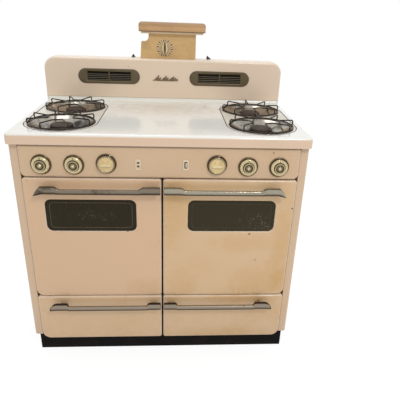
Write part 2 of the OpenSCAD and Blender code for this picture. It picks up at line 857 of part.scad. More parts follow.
// lamp tube between its two sockets under the hood
module lamp_tube() {
    x0 = console_x - hood_w / 2 + hood_r + 1;
    x1 = console_x + hood_w / 2 - hood_r - 1;
    y = hood_y0 + 20;
    z = hood_z + 20;
    color("#e5e3da") place() {
        rod([x0 + 10, y, z], [x1 - 10, y, z], 7);
        for (x = [x0, x1 - 10]) box([x, y - 9, z - 10], [x + 10, y + 9, hood_z + hood_h - sheet]);
    }
}

// dark steel plate behind the backguard that carries the column, with an ear at each side
module console_bracket() {
    y0 = guard_back + sheet;
    left = console_x - 168;
    right = console_x + 154;
    color("#1d1a17") place() along_y(y0, y0 + 2.5) {
        polygon([[left - 14, top_h + 40], [right + 16, top_h + 40], [right + 16, guard_top],
                 [right - 2, guard_top + 14], [right - 5, guard_top], [column_x1 - 6, guard_top],
                 [column_x1 - 6, case_top], [column_x0 + 6, case_top], [column_x0 + 6, guard_top],
                 [left + 10, guard_top], [left, guard_top + 13], [left - 8, guard_top],
                 [left - 14, guard_top - 4]]);
    }
}

// dial plate with the works behind it
module timer_dial() {
    color("#e3cfa8") place() {
        turned_y([0, column_front, timer_z]) difference() {
            polygon([[0, 0], [timer_r, 0], [timer_r, 1.5], [timer_r - 3, 2.5], [timer_r - 8, 3], [0, 3]]);
            translate([0, -1]) square([3, 6]);
        }
        turned_y([0, column_front + 28, timer_z]) union() {
            square([26, 28 - sheet]);
            square([3 - run_fit - 0.1, 28 + 14]);
        }
    }
}

module timer_knob() {
    grip_h = 30;
    color("#ead9b6") place() {
        turned_y([0, column_front - 3 - apart, timer_z]) difference() {
            polygon([[0, 0], [24, 0], [23, 3], [19, 5], [0, 6]]);
            translate([0, -1]) square([3 - 0.1, 20]);
        }
        difference() {
            along_y(column_front - 3 - apart - 17, column_front - 3 - apart - 4) translate([0, timer_z])
                rotate(90) stadium(2 * grip_h - 8, 13);
            turned_y([0, column_front - 3 - apart, timer_z]) translate([0, -1]) square([3 - 0.1, 13]);
        }
    }
}

// ---------------------------------------------------------------- doors

module door_skin(s) {
    small = edge_r + 1;
    color(s < 0 ? "#d3b392" : "#d0ac80") place() sided(s) difference() {
        front_pan(face_y, inner_x, front_half, door_z, door_top, door_d,
                  [small, door_corner_r, small, small + 2], edge_r);
        along_y(face_y - 1, face_y + 4) round_rect(window_x0, window_x1, window_z0, window_z1, window_r);
        for (x = arm_xs)
            box([x - 4, pivot_y - 4.5, door_z - 1], [x + 4, skin_back + 1, door_z + edge_r + 1]);
    }
}

// liner behind the skin, with the window opening and the eyes that turn on the hinge pins
module door_liner(s) {
    small = edge_r;
    rise = 30;
    z_low = door_z + max(25, door_corner_r);
    back = liner_back;
    color("#4a4844") place() sided(s) difference() {
        union() {
            along_y(liner_front, liner_front + sheet)
                corner_outline(inner_x + 1, front_half - 1, z_low, door_top - 1, [3, 3, small, small + 2]);
            box([inner_x + rise, liner_front, door_z + rise + 15],
                [front_half - rise, back, door_top - rise]);
            for (x = arm_xs, side = [-1, 1]) {
                x_in = x + side * (arm_t / 2 + ear_gap + ear_t / 2);
                along_x(x_in - ear_t / 2, x_in + ear_t / 2) {
                    translate([pivot_y, pivot_z]) circle(6);
                    polygon([[pivot_y - 6, pivot_z], [pivot_y + 6, pivot_z],
                             [liner_front + eps, z_low + 1], [liner_front + eps, pivot_z + 50],
                             [liner_front - 5, pivot_z + 50]]);
                }
            }
        }
        box([inner_x + rise + sheet, liner_front - 1, door_z + rise + 15 + sheet],
            [front_half - rise - sheet, back - sheet, door_top - rise - sheet]);
        along_y(liner_front - 1, back + 1)
            round_rect(window_x0 + 14, window_x1 - 14, window_z0 + 12, window_z1 - 12, 12);
        for (x = arm_xs) rod([x - 10, pivot_y, pivot_z], [x + 10, pivot_y, pivot_z], pin_r + run_fit);
    }
}

module door_glass(s) {
    front = face_y + sheet + 0.2;
    rear = liner_back - sheet - 0.2;
    color("#2b241d") place() sided(s) {
        along_y(front, front + glass_t)
            round_rect(window_x0 - 7, window_x1 + 7, window_z0 - 7, window_z1 + 7, window_r + 6);
        along_y(rear - glass_t, rear)
            round_rect(window_x0 + 4, window_x1 - 4, window_z0 + 4, window_z1 - 4, 12);
    }
}

// rise from 0 to 1 as t runs from 0 to 1, flat at both ends
function ease(t) = (1 - cos(180 * t)) / 2;

// points along a level-to-level step of the handle's upper edge
function step_points(x0, x1, z0, z1) =
    [for (k = [0:6]) [x0 + (x1 - x0) * k / 6, z0 + (z1 - z0) * ease(k / 6)]];

// front outline of a door handle, x from its square inner end to its pointed outer end
module door_handle_outline(length) {
    rise = 8;
    polygon(concat(
        [[2, 0], [length - 28, 0], [length, -6]],
        [for (k = [1:8]) [length - 3.5 * k, (bar_h + rise + 6) * sin(90 * k / 8) - 6]],
        [[length - 62, bar_h + rise]],
        step_points(length - 66, length - 92, bar_h + rise, bar_h),
        step_points(80, 56, bar_h, bar_h + rise),
        [[4, bar_h + rise], [0, bar_h + rise - 4], [0, 3]]));
}

// front outline of a drawer handle, x from its square inner end to its rounded outer end
module drawer_handle_outline(length) {
    rise = 10;
    reach = 30;
    polygon(concat(
        [[2, 0], [length - 4, 0]],
        [for (k = [0:8]) [length - reach + reach * cos(90 * k / 8), (bar_h + rise) * sin(90 * k / 8)]],
        [[length - reach - 32, bar_h + rise]],
        step_points(length - reach - 34, length - reach - 44, bar_h + rise, bar_h),
        step_points(56, 44, bar_h, bar_h + rise),
        [[4, bar_h + rise], [0, bar_h + rise - 4], [0, 3]]));
}

// two feet that carry a handle's bar, from the bar back to the door's face, the outer one at a stated place
module handle_feet(outer, z) {
    for (x = [12, outer])
        box([inner_x + 2 + x, handle_y + bar_t - 1, z + 2], [inner_x + 2 + x + 30, face_y, z + 9]);
}

module door_handle(s) {
    length = front_half - handle_end - inner_x - 2;
    color("#8d8880") place() sided(s) {
        along_y(handle_y, handle_y + bar_t) translate([inner_x + 2, door_bar_z]) door_handle_outline(length);
        handle_feet(length - 64, door_bar_z);
    }
}

module drawer_handle(s) {
    length = front_half - handle_end - 8 - inner_x - 2;
    color("#98928a") place() sided(s) {
        along_y(handle_y, handle_y + bar_t)
            translate([inner_x + 2, drawer_bar_z]) drawer_handle_outline(length);
        handle_feet(length - 60, drawer_bar_z);
    }
}

// hinge arms on the front frame, each with its pin
module door_hinges() {
    color("#57524a") place() for (s = [-1, 1]) sided(s) for (x = arm_xs) {
        along_x(x - arm_t / 2, x + arm_t / 2) {
            translate([pivot_y, pivot_z]) circle(4);
            polygon([[pivot_y, pivot_z - 4], [frame_y - 10, pivot_z - 4], [frame_y, pivot_z - 8],
                     [frame_y, pivot_z + 8], [frame_y - 10, pivot_z + 4], [pivot_y, pivot_z + 4]]);
        }
        box([x - 14, frame_y - 2, pivot_z - 12], [x + 14, frame_y, pivot_z + 9]);
        rod([x - 6, pivot_y, pivot_z], [x + 6, pivot_y, pivot_z], pin_r);
    }
}

// ---------------------------------------------------------------- drawers

module drawer_front(s) {
    small = edge_r + 1;
    color("#d2b28f") place() sided(s)
        front_pan(face_y, inner_x, front_half, drawer_z, drawer_top, drawer_d,
                  [small, drawer_corner_r, small, small + 2], edge_r);
}

module drawer_box(s) {
    t = 1.2;
    small = edge_r;
    y0 = drawer_back;
    color("#6d6a66") place() sided(s) {
        along_y(y0, y0 + t) corner_outline(inner_x + 1, front_half - 1, drawer_z + 1, drawer_top - 1,
                                           [small, drawer_corner_r - 1, small, small + 2]);
        difference() {
            box([box_x0, y0, box_z0], [box_x1, box_end, box_z0 + box_h]);
            box([box_x0 + t, y0 + t, box_z0 + t], [box_x1 - t, box_end - t, box_z0 + box_h + 1]);
        }
    }
}

// angle rails under each drawer box, from the front frame to the back panel
module drawer_rails() {
    y0 = frame_y + sheet;
    y1 = back_y;
    color("#5b5852") place() for (s = [-1, 1]) sided(s) {
        box([box_x0 - 4, y0, rail_z], [box_x0 + 14, y1, rail_z + rail_t]);
        box([box_x0 - 4, y0, rail_z], [box_x0 - 2, y1, rail_z + 16]);
        box([box_x1 - 14, y0, rail_z], [box_x1 + 4, y1, rail_z + rail_t]);
        box([box_x1 + 2, y0, rail_z], [box_x1 + 4, y1, rail_z + 16]);
    }
}

// ---------------------------------------------------------------- nodes

toe_base();
side_panel(-1);  // side_panel_left
side_panel(1);  // side_panel_right
back_panel();
front_frame();
cooktop();
backguard();
backguard_cover();
vent_grilles();
ornament_bar();
burner_trays();
drip_bowls();
grate(-burner_x, burner_ys[0], 0);  // grate_front_left
grate(-burner_x, burner_ys[1], 0);  // grate_back_left
grate(burner_x, burner_ys[0], grate_turn);  // grate_front_right
grate(burner_x, burner_ys[1], grate_turn);  // grate_back_right
burners();
gas_manifold();
burner_valves();
oven_valves();
oven_burners();
control_panel();
knob_bezels();
outlet_plate();
switch_plate();
switch_rocker();
burner_knob(knob_xs[0]);  // burner_knob_1
burner_knob(knob_xs[1]);  // burner_knob_2
burner_knob(knob_xs[2]);  // burner_knob_3
burner_knob(knob_xs[3]);  // burner_knob_4
oven_dial(-1);  // oven_dial_left
oven_dial(1);  // oven_dial_right
flue_ducts();
lamp_column();
lamp_hood();
lamp_tube();
lamp_lens();
console_bracket();
timer_dial();
timer_knob();
oven_liner(-1);  // oven_liner_left
oven_liner(1);  // oven_liner_right
oven_racks();
oven_floors();
door_skin(-1);  // door_skin_left
door_skin(1);  // door_skin_right
door_liner(-1);  // door_liner_left
door_liner(1);  // door_liner_right
door_glass(-1);  // door_glass_left
door_glass(1);  // door_glass_right
door_handle(-1);  // door_handle_left
door_handle(1);  // door_handle_right
drawer_front(-1);  // drawer_front_left
drawer_front(1);  // drawer_front_right
drawer_box(-1);  // drawer_box_left
drawer_box(1);  // drawer_box_right
drawer_handle(-1);  // drawer_handle_left
drawer_handle(1);  // drawer_handle_right
drawer_rails();
door_hinges();
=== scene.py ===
"""Looks of an old enamelled gas range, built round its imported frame.

Every surface is a grid worked out with numpy or a sheet node of the frame with a better finish. All places
come from the frame's boxes, in metres, with +Z up and the front towards -Y.
"""

import logging
import math
from dataclasses import dataclass, field
from enum import Enum
from typing import Callable, Sequence

import bmesh
import bpy
import numpy as np
from mathutils import Matrix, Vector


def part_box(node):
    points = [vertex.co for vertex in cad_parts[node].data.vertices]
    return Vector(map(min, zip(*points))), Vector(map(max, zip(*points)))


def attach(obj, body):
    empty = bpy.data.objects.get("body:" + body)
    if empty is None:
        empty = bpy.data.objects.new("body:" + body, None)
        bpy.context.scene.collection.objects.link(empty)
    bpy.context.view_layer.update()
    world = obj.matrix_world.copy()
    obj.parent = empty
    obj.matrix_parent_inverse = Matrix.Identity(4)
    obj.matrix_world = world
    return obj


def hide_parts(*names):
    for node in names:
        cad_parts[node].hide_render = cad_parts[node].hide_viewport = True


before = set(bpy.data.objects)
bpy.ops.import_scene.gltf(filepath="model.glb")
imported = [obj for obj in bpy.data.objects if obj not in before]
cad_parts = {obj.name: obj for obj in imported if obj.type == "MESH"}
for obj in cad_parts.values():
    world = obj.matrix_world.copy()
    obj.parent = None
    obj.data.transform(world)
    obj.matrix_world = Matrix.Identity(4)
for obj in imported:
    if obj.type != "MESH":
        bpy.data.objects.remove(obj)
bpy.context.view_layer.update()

LOG = logging.getLogger("range")
MM = 0.001
SIDES = {"left": -1, "right": 1}
Array = np.ndarray
Socket = bpy.types.NodeSocket


def srgb(code: str) -> tuple[float, float, float, float]:
    """Turns a hex colour code into linear values.

    Args:
        code: Six hex digits, such as d4b291.

    Returns:
        Linear red, green and blue, with an alpha of 1.
    """
    parts = [int(code[i:i + 2], 16) / 255 for i in (0, 2, 4)]
    linear = [c / 12.92 if c <= 0.04045 else ((c + 0.055) / 1.055) ** 2.4 for c in parts]
    return (*linear, 1.0)


def box_of(node: str) -> tuple[Array, Array]:
    """Returns the lowest and highest corner of a frame node as arrays."""
    low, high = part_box(node)
    return np.array(low), np.array(high)


def middle_of(node: str) -> Array:
    """Returns the middle of a frame node's box."""
    low, high = box_of(node)
    return (low + high) / 2


# ---------------------------------------------------------------- shapes


class Axis(Enum):
    """Direction that a turned piece's profile rises in."""

    UP = "up"
    FRONT = "front"


def rounded_loop(x0: float, x1: float, z0: float, z1: float, radii: Sequence[float], side: int = 16,
                 corner: int = 10) -> Array:
    """Closed outline of a rectangle: four straight sides joined by quarter circles.

    Args:
        x0, x1, z0, z1: The rectangle's bounds.
        radii: Corner radii in the order x0z0, x1z0, x0z1, x1z1.
        side: Points along each straight side.
        corner: Steps round each corner.

    Returns:
        Array of 4 * (side + corner) points (x, z), running anticlockwise seen from the front.
    """
    a, b, c, d = (max(r, 1e-5) for r in radii)
    centres = np.array([[x1 - b, z0 + b], [x1 - d, z1 - d], [x0 + c, z1 - c], [x0 + a, z0 + a]])
    sizes = np.array([b, d, c, a])
    turn = np.linspace(0, math.pi / 2, corner + 1)
    angle = turn[None, :] + (np.arange(4) * math.pi / 2 - math.pi / 2)[:, None]
    arcs = centres[:, None, :] + sizes[:, None, None] * np.stack([np.cos(angle), np.sin(angle)], axis=-1)
    share = (np.arange(1, side) / side)[None, :, None]
    following = np.roll(arcs[:, :1], -1, axis=0)
    straight = arcs[:, -1:] * (1 - share) + following * share
    return np.concatenate([arcs, straight], axis=1).reshape(-1, 2)


def centred_loop(x: float, z: float, wide: float, tall: float, radius: float, side: int = 16,
                 corner: int = 10) -> Array:
    """Rounded rectangle about a middle (x, z), with half sizes wide and tall and four equal corners."""
    return rounded_loop(x - wide, x + wide, z - tall, z + tall, [radius] * 4, side, corner)


def grown_loop(bounds: Sequence[float], by: float, radius: float) -> Array:
    """Rounded rectangle whose bounds x0, x1, z0, z1 are moved out by one distance, or in if it is negative."""
    x0, x1, z0, z1 = bounds
    return rounded_loop(x0 - by, x1 + by, z0 - by, z1 + by, [radius] * 4)


def standing(loop: Array, y: float) -> Array:
    """Puts an outline (x, z) into space at a depth y."""
    return np.stack([loop[:, 0], np.full(len(loop), y), loop[:, 1]], axis=-1)


def placed(name: str, data: bpy.types.ID) -> bpy.types.Object:
    """Makes an object from its data and puts it in the scene."""
    thing = bpy.data.objects.new(name, data)
    bpy.context.scene.collection.objects.link(thing)
    return thing


def lying(loop: Array, z: float) -> Array:
    """Puts an outline (x, y) into space at a height z."""
    return np.stack([loop[:, 0], loop[:, 1], np.full(len(loop), z)], axis=-1)


def ring_angles(count: int) -> Array:
    """Evenly spread angles round a circle, the last one short of the first."""
    return np.linspace(0, 2 * math.pi, count, endpoint=False)


def softened(points: Array, radius: float, steps: int = 6) -> Array:
    """Rounds the inner corners of an open polyline with parabolic arcs.

    Each corner is cut back by radius, or by just under half of its shorter side, and bridged by the
    quadratic curve that has the corner as its middle control point.

    Args:
        points: Array of points, one to a row.
        radius: Length cut from each side of a corner.
        steps: Points on each arc.

    Returns:
        Array of points of the rounded line.
    """
    p = np.asarray(points, float)
    before, mid, after = p[:-2], p[1:-1], p[2:]
    to_a, to_b = before - mid, after - mid
    len_a = np.linalg.norm(to_a, axis=1, keepdims=True)
    len_b = np.linalg.norm(to_b, axis=1, keepdims=True)
    cut = np.minimum(radius, 0.48 * np.minimum(len_a, len_b))
    start, end = mid + to_a / len_a * cut, mid + to_b / len_b * cut
    t = np.linspace(0, 1, steps)[None, :, None]
    arc = (1 - t) ** 2 * start[:, None] + 2 * t * (1 - t) * mid[:, None] + t ** 2 * end[:, None]
    return np.concatenate([p[:1], arc.reshape(-1, p.shape[1]), p[-1:]])


def turned(profile: Array, centre: Sequence[float], axis: Axis, count: int = 72,
           ripple: Callable[[Array, Array, Array], Array] | None = None) -> Array:
    """Turns a profile about a line: radius r and height h become a circle at that height.

    Args:
        profile: Array of (radius, height) rows.
        centre: Point where the height is 0.
        axis: Direction in which the height grows.
        count: Points round each circle.
        ripple: Optional function of (radius, height, angle) that gives the radius used.

    Returns:
        Grid of points of shape (rows, count, 3).
    """
    r, h = profile[:, :1], profile[:, 1:]
    angle = ring_angles(count)[None, :]
    wide = r + 0 * angle if ripple is None else ripple(r + 0 * angle, h + 0 * angle, angle + 0 * r)
    across, up, rise = wide * np.cos(angle), wide * np.sin(angle), h + 0 * angle
    parts = (across, up, rise) if axis is Axis.UP else (across, -rise, up)
    return np.stack(parts, axis=-1) + np.asarray(centre, float)


def tube(path: Array, radius: float | Array, count: int = 12, closed: bool = False) -> Array:
    """Carries a circle along a path, each ring square to the path's tangent.

    The ring's first direction is the tangent's turn about the path's own mean plane, which never lies
    along a wire of this range.

    Args:
        path: Array of points along the line.
        radius: One radius, or one for each point.
        count: Points round each ring.
        closed: True if the path runs back to its start.

    Returns:
        Grid of points of shape (points, count, 3).
    """
    if closed:
        tangent = np.roll(path, -1, axis=0) - np.roll(path, 1, axis=0)
    else:
        tangent = np.gradient(path, axis=0)
    tangent /= np.linalg.norm(tangent, axis=1, keepdims=True)
    flat = np.linalg.svd(path - path.mean(axis=0))[2][2]
    side = np.cross(tangent, flat)
    side /= np.linalg.norm(side, axis=1, keepdims=True)
    other = np.cross(side, tangent)
    angle = ring_angles(count)[None, :, None]
    r = np.broadcast_to(np.asarray(radius, float).reshape(-1, 1, 1), (len(path), 1, 1))
    return path[:, None] + r * (np.cos(angle) * side[:, None] + np.sin(angle) * other[:, None])


def step(x: Array, start: float, end: float) -> Array:
    """Rises from 0 to 1 between start and end on half a cosine wave."""
    t = np.clip((x - start) / (end - start), 0, 1)
    return (1 - np.cos(math.pi * t)) / 2


@dataclass
class Shape:
    """Vertices and faces gathered from several grids, made into one object at the end."""

    points: list[Array] = field(default_factory=list)
    wear: list[Array] = field(default_factory=list)
    tone: list[Array] = field(default_factory=list)
    faces: list[list[int]] = field(default_factory=list)
    total: int = 0

    def _add(self, pts: Array, wear: float | Array, tone: float | Array) -> int:
        """Stores points with their wear and tone, and returns the index of the first."""
        flat = pts.reshape(-1, 3)
        first = self.total
        self.points.append(flat)
        for store, value in ((self.wear, wear), (self.tone, tone)):
            value = np.asarray(value, float)
            if value.ndim == 1:
                value = np.repeat(value, len(flat) // len(value))
            store.append(np.broadcast_to(value.reshape(-1), (len(flat),)) if value.size == 1
                         else value.reshape(-1))
        self.total += len(flat)
        return first

    def grid(self, pts: Array, around: bool = True, looped: bool = False, ends: bool = False,
             wear: float | Array = 0.0, tone: float | Array = 0.0) -> "Shape":
        """Adds a grid of points as four-sided faces.

        Args:
            pts: Points of shape (rows, columns, 3).
            around: True if each row is a closed ring.
            looped: True if the last row joins the first.
            ends: True if the first and last rows are closed with one flat face each.
            wear: Edge wear from 0 to 1, one value, one for each row, or one for each point.
            tone: Share of the finish's second colour, given as wear is.

        Returns:
            The shape itself, so that calls can follow each other.
        """
        rows, columns = pts.shape[:2]
        first = self._add(pts, wear, tone)
        index = np.arange(rows * columns).reshape(rows, columns) + first
        if ends:
            self.faces.append(index[0, ::-1].tolist())
            self.faces.append(index[-1].tolist())
        if looped:
            index = np.vstack([index, index[:1]])
        if around:
            index = np.hstack([index, index[:, :1]])
        quads = np.stack([index[:-1, :-1], index[:-1, 1:], index[1:, 1:], index[1:, :-1]], axis=-1)
        self.faces.extend(quads.reshape(-1, 4).tolist())
        return self

    def slab(self, loop: Array, front: float, back: float, bevel: float, axis: Axis = Axis.FRONT,
             tone: float = 0.0) -> "Shape":
        """Adds a flat plate: an outline carried through its thickness, with its front edge rounded.

        Args:
            loop: Outline (x, z), or (x, y) for a plate that faces up.
            front: Coordinate of its face along the axis that it faces.
            back: Coordinate of its back.
            bevel: Radius of the rounded front edge.
            axis: FRONT for a plate in the XZ plane, UP for one in the XY plane.
            tone: Share of the finish's second colour.

        Returns:
            The shape itself.
        """
        turn = np.linspace(0, math.pi / 2, 5)
        inset = np.concatenate([[0.0], bevel * (1 - np.cos(turn))])
        sign = 1 if axis is Axis.FRONT else -1
        place = np.concatenate([[back], front + sign * bevel * (1 - np.sin(turn))])
        centre = (loop.max(axis=0) + loop.min(axis=0)) / 2
        half = (loop.max(axis=0) - loop.min(axis=0)) / 2
        scale = 1 - inset[:, None, None] / half
        flat = centre + (loop - centre)[None] * scale
        level = np.broadcast_to(place[:, None], flat.shape[:2])
        x, z = flat[..., 0], flat[..., 1]
        parts = (x, level, z) if axis is Axis.FRONT else (x, z, level)
        return self.grid(np.stack(parts, axis=-1), ends=True, tone=tone)

    def capped(self, skin: Array, wear: float | Array = 0.0, tone: float | Array = 0.0) -> "Shape":
        """Adds a grid of closed rings and closes the last ring with one face."""
        self.grid(skin, wear=wear, tone=tone)
        self.faces.append(list(range(self.total - skin.shape[1], self.total)))
        return self

    def sheet(self, pts: Array, faces: list[list[int]], tone: float) -> "Shape":
        """Adds loose points with faces that are lists of their indices."""
        first = self._add(pts, 0.0, tone)
        self.faces.extend([[first + v for v in face] for face in faces])
        return self

    def strokes(self, ends: Array, across: Array, place: Callable[[Array], Array]) -> "Shape":
        """Adds a flat printed stroke.

        Args:
            ends: Its two ends (x, z).
            across: Half its width, as a step (x, z).
            place: Function that puts flat points into space.

        Returns:
            The shape itself.
        """
        return self.grid(place(np.stack([ends + across, ends - across], axis=1)), around=False, tone=1.0)

    def piece(self, name: str, body: str, finish: "Finish", nodes: Sequence[str] = (),
              angle: float = 38) -> bpy.types.Object:
        """Makes the gathered faces into an object that rides on a body and stands for frame nodes.

        Args:
            name: The piece's name.
            body: Body that it moves with.
            finish: Finish that it is dressed in.
            nodes: Frame nodes that it replaces.
            angle: Angle in degrees above which an edge stays sharp.

        Returns:
            The new object, with its place in its mesh.
        """
        mesh = bpy.data.meshes.new(name)
        mesh.from_pydata(np.concatenate(self.points).tolist(), [], self.faces)
        for label, store in (("wear", self.wear), ("tone", self.tone)):
            layer = mesh.attributes.new(label, "FLOAT", "POINT")
            layer.data.foreach_set("value", np.concatenate(store).astype(np.float32))
        work = bmesh.new()
        work.from_mesh(mesh)
        bmesh.ops.remove_doubles(work, verts=work.verts, dist=2e-6)
        bmesh.ops.dissolve_degenerate(work, edges=work.edges, dist=1e-7)
        bmesh.ops.recalc_face_normals(work, faces=work.faces)
        work.to_mesh(mesh)
        work.free()
        mesh.shade_smooth()
        mesh.set_sharp_from_angle(angle=math.radians(angle))
        piece = placed(name, mesh)
        mesh.materials.append(finish.material())
        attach(piece, body)
        if nodes:
            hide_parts(*nodes)
        LOG.info("%s: %d faces on %s", name, len(mesh.polygons), body)
        return piece


# ---------------------------------------------------------------- shader graphs


class Graph:
    """A shader node tree that is written one node at a time."""

    def __init__(self, tree: bpy.types.NodeTree) -> None:
        """Keeps the tree that the nodes go into."""
        self.tree = tree

    def node(self, kind: str, inputs: dict | None = None, **settings: object) -> bpy.types.Node:
        """Adds a node.

        Args:
            kind: Node type without its ShaderNode prefix.
            inputs: Values or sockets by input name or number.
            **settings: Properties of the node.

        Returns:
            The new node.
        """
        made = self.tree.nodes.new("ShaderNode" + kind)
        for key, value in settings.items():
            setattr(made, key, value)
        for key, value in (inputs or {}).items():
            if isinstance(value, Socket):
                self.tree.links.new(value, made.inputs[key])
            else:
                made.inputs[key].default_value = value
        return made

    def math(self, operation: str, a: Socket | float, b: Socket | float = 0.0, clamp: bool = False) -> Socket:
        """Adds a Math node and returns its result."""
        return self.node("Math", {0: a, 1: b}, operation=operation, use_clamp=clamp).outputs[0]

    def times(self, a: Socket | float, b: Socket | float, clamp: bool = False) -> Socket:
        """Multiplies two numbers."""
        return self.math("MULTIPLY", a, b, clamp)

    def less(self, a: Socket | float, b: Socket | float, clamp: bool = False) -> Socket:
        """Takes b from a."""
        return self.math("SUBTRACT", a, b, clamp)

    def plus(self, a: Socket | float, b: Socket | float, clamp: bool = False) -> Socket:
        """Adds two numbers."""
        return self.math("ADD", a, b, clamp)

    def scaled(self, vector: Socket, scale: Sequence[float]) -> Socket:
        """Multiplies a vector by three numbers and returns the product."""
        return self.node("VectorMath", {0: vector, 1: tuple(scale)}, operation="MULTIPLY").outputs[0]

    def mix(self, share: Socket | float, a: object, b: object) -> Socket:
        """Mixes colour a towards b by share and returns the colour."""
        return self.node("Mix", {"Factor": share, 6: a, 7: b}, data_type="RGBA").outputs[2]

    def spread(self, value: Socket, low: float, high: float, to: tuple[float, float] = (0, 1)) -> Socket:
        """Maps low to high smoothly onto the range given by to, and returns the result."""
        return self.node("MapRange", {"Value": value, 1: low, 2: high, 3: to[0], 4: to[1]},
                         interpolation_type="SMOOTHSTEP").outputs[0]

    def noise(self, vector: Socket, scale: Socket | float, detail: float = 3.0, rough: float = 0.55,
              bend: float = 0.0) -> Socket:
        """Adds a noise texture and returns its value."""
        return self.node("TexNoise", {"Vector": vector, "Scale": scale, "Detail": detail, "Roughness": rough,
                                      "Distortion": bend}).outputs[0]

    def group(self, tree: bpy.types.NodeTree, inputs: dict) -> bpy.types.Node:
        """Places a node group with its own values."""
        return self.node("Group", inputs, node_tree=tree)


class Effects:
    """Shader groups that the finishes share, each built once."""

    def __init__(self) -> None:
        """Builds every group."""
        self.clouds = self._clouds()
        self.chips = self._chips()
        self.runs = self._runs()
        self.ripple = self._ripple()
        self.pits = self._pits()
        self.blot = self._blot()
        self.dust = self._dust()

    @staticmethod
    def _start(name: str, inputs: dict[str, object], outputs: Sequence[str]) -> tuple[Graph, dict, dict]:
        """Opens a new group.

        Args:
            name: The group's name.
            inputs: Default value of each input by name; None stands for a vector.
            outputs: Names of its float outputs.

        Returns:
            The graph, its input sockets by name, and its output sockets by name.
        """
        tree = bpy.data.node_groups.new(name, "ShaderNodeTree")
        for label, value in inputs.items():
            vector = value is None or isinstance(value, tuple)
            made = tree.interface.new_socket(name=label, in_out="INPUT",
                                             socket_type="NodeSocketVector" if vector else "NodeSocketFloat")
            if value is not None:
                made.default_value = value
        for label in outputs:
            tree.interface.new_socket(name=label, in_out="OUTPUT", socket_type="NodeSocketFloat")
        source = tree.nodes.new("NodeGroupInput")
        sink = tree.nodes.new("NodeGroupOutput")
        return (Graph(tree), {s.name: s for s in source.outputs if s.name},
                {s.name: s for s in sink.inputs if s.name})

    def _clouds(self) -> bpy.types.NodeTree:
        """Soft cloudy patches, broken by a finer noise."""
        g, i, o = self._start("cloudy_stain", {"Vector": None, "Scale": 4.0, "Cover": 0.5}, ["Mask"])
        broad = g.noise(i["Vector"], i["Scale"], 2.0, 0.5, 0.8)
        fine = g.noise(i["Vector"], g.times(i["Scale"], 6.3), 4.0, 0.65)
        both = g.plus(g.times(broad, 0.75), g.times(fine, 0.25))
        level = g.less(both, g.less(0.72, g.times(i["Cover"], 0.4)))
        g.tree.links.new(g.spread(level, -0.09, 0.16), o["Mask"])
        return g.tree

    def _chips(self) -> bpy.types.NodeTree:
        """Small chips: cells of a Voronoi pattern whose random value is under Density."""
        g, i, o = self._start("enamel_chips", {"Vector": None, "Scale": 40.0, "Density": 0.05, "Size": 0.2},
                              ["Mask", "Halo"])
        bend = g.node("TexNoise", {"Vector": i["Vector"], "Scale": 160.0, "Detail": 3.0}).outputs[1]
        vector = g.node("VectorMath", {0: i["Vector"], 1: g.scaled(bend, (0.012,) * 3)},
                        operation="ADD").outputs[0]
        cell = g.node("TexVoronoi", {"Vector": vector, "Scale": i["Scale"]})
        chance = g.node("SeparateColor", {0: cell.outputs["Color"]})
        kept = g.math("LESS_THAN", chance.outputs[0], i["Density"])
        size = g.times(i["Size"], g.spread(chance.outputs[1], 0.0, 1.0, (0.3, 1.0)))
        inside = g.math("LESS_THAN", cell.outputs["Distance"], size)
        near = g.less(1.0, g.math("DIVIDE", cell.outputs["Distance"], g.times(size, 2.6)), clamp=True)
        g.tree.links.new(g.times(inside, kept), o["Mask"])
        g.tree.links.new(g.times(near, kept), o["Halo"])
        return g.tree

    def _runs(self) -> bpy.types.NodeTree:
        """Thin runs down a wall: noise drawn out along Z."""
        g, i, o = self._start("runs_down", {"Vector": None, "Scale": 30.0, "Cover": 0.4}, ["Mask"])
        drawn = g.scaled(i["Vector"], (1.0, 1.0, 0.06))
        streak = g.noise(drawn, i["Scale"], 3.0, 0.6)
        patch = g.noise(i["Vector"], 3.0, 2.0)
        level = g.times(streak, g.spread(patch, 0.35, 0.65))
        floor = g.less(0.75, g.times(i["Cover"], 0.5))
        g.tree.links.new(g.times(g.less(level, floor, clamp=True), 4.0, clamp=True), o["Mask"])
        return g.tree

    def _ripple(self) -> bpy.types.NodeTree:
        """Height of fired enamel: a slow wave of the sheet under a fine orange peel."""
        g, i, o = self._start("enamel_ripple", {"Vector": None, "Wave": 6.0, "Peel": 260.0, "Share": 0.25},
                              ["Height"])
        slow = g.noise(i["Vector"], i["Wave"], 1.0, 0.4)
        fine = g.times(g.noise(i["Vector"], i["Peel"], 2.0, 0.5), g.times(i["Share"], 0.06))
        g.tree.links.new(g.plus(slow, fine), o["Height"])
        return g.tree

    def _pits(self) -> bpy.types.NodeTree:
        """Corrosion of plated metal: specks in clusters, and a haze round them."""
        g, i, o = self._start("plating_pits", {"Vector": None, "Scale": 300.0, "Cover": 0.4}, ["Specks", "Haze"])
        cluster = g.noise(i["Vector"], 14.0, 4.0, 0.7, 0.4)
        limit = g.less(0.78, g.times(i["Cover"], 0.45))
        haze = g.times(g.less(cluster, limit, clamp=True), 5.0, clamp=True)
        speck = g.node("TexVoronoi", {"Vector": i["Vector"], "Scale": i["Scale"]})
        grain = g.less(1.0, g.spread(speck.outputs["Distance"], 0.12, 0.42))
        chance = g.node("SeparateColor", {0: speck.outputs["Color"]}).outputs[0]
        kept = g.math("LESS_THAN", chance, g.plus(g.times(haze, 0.6), 0.06))
        g.tree.links.new(g.times(grain, kept), o["Specks"])
        g.tree.links.new(haze, o["Haze"])
        return g.tree

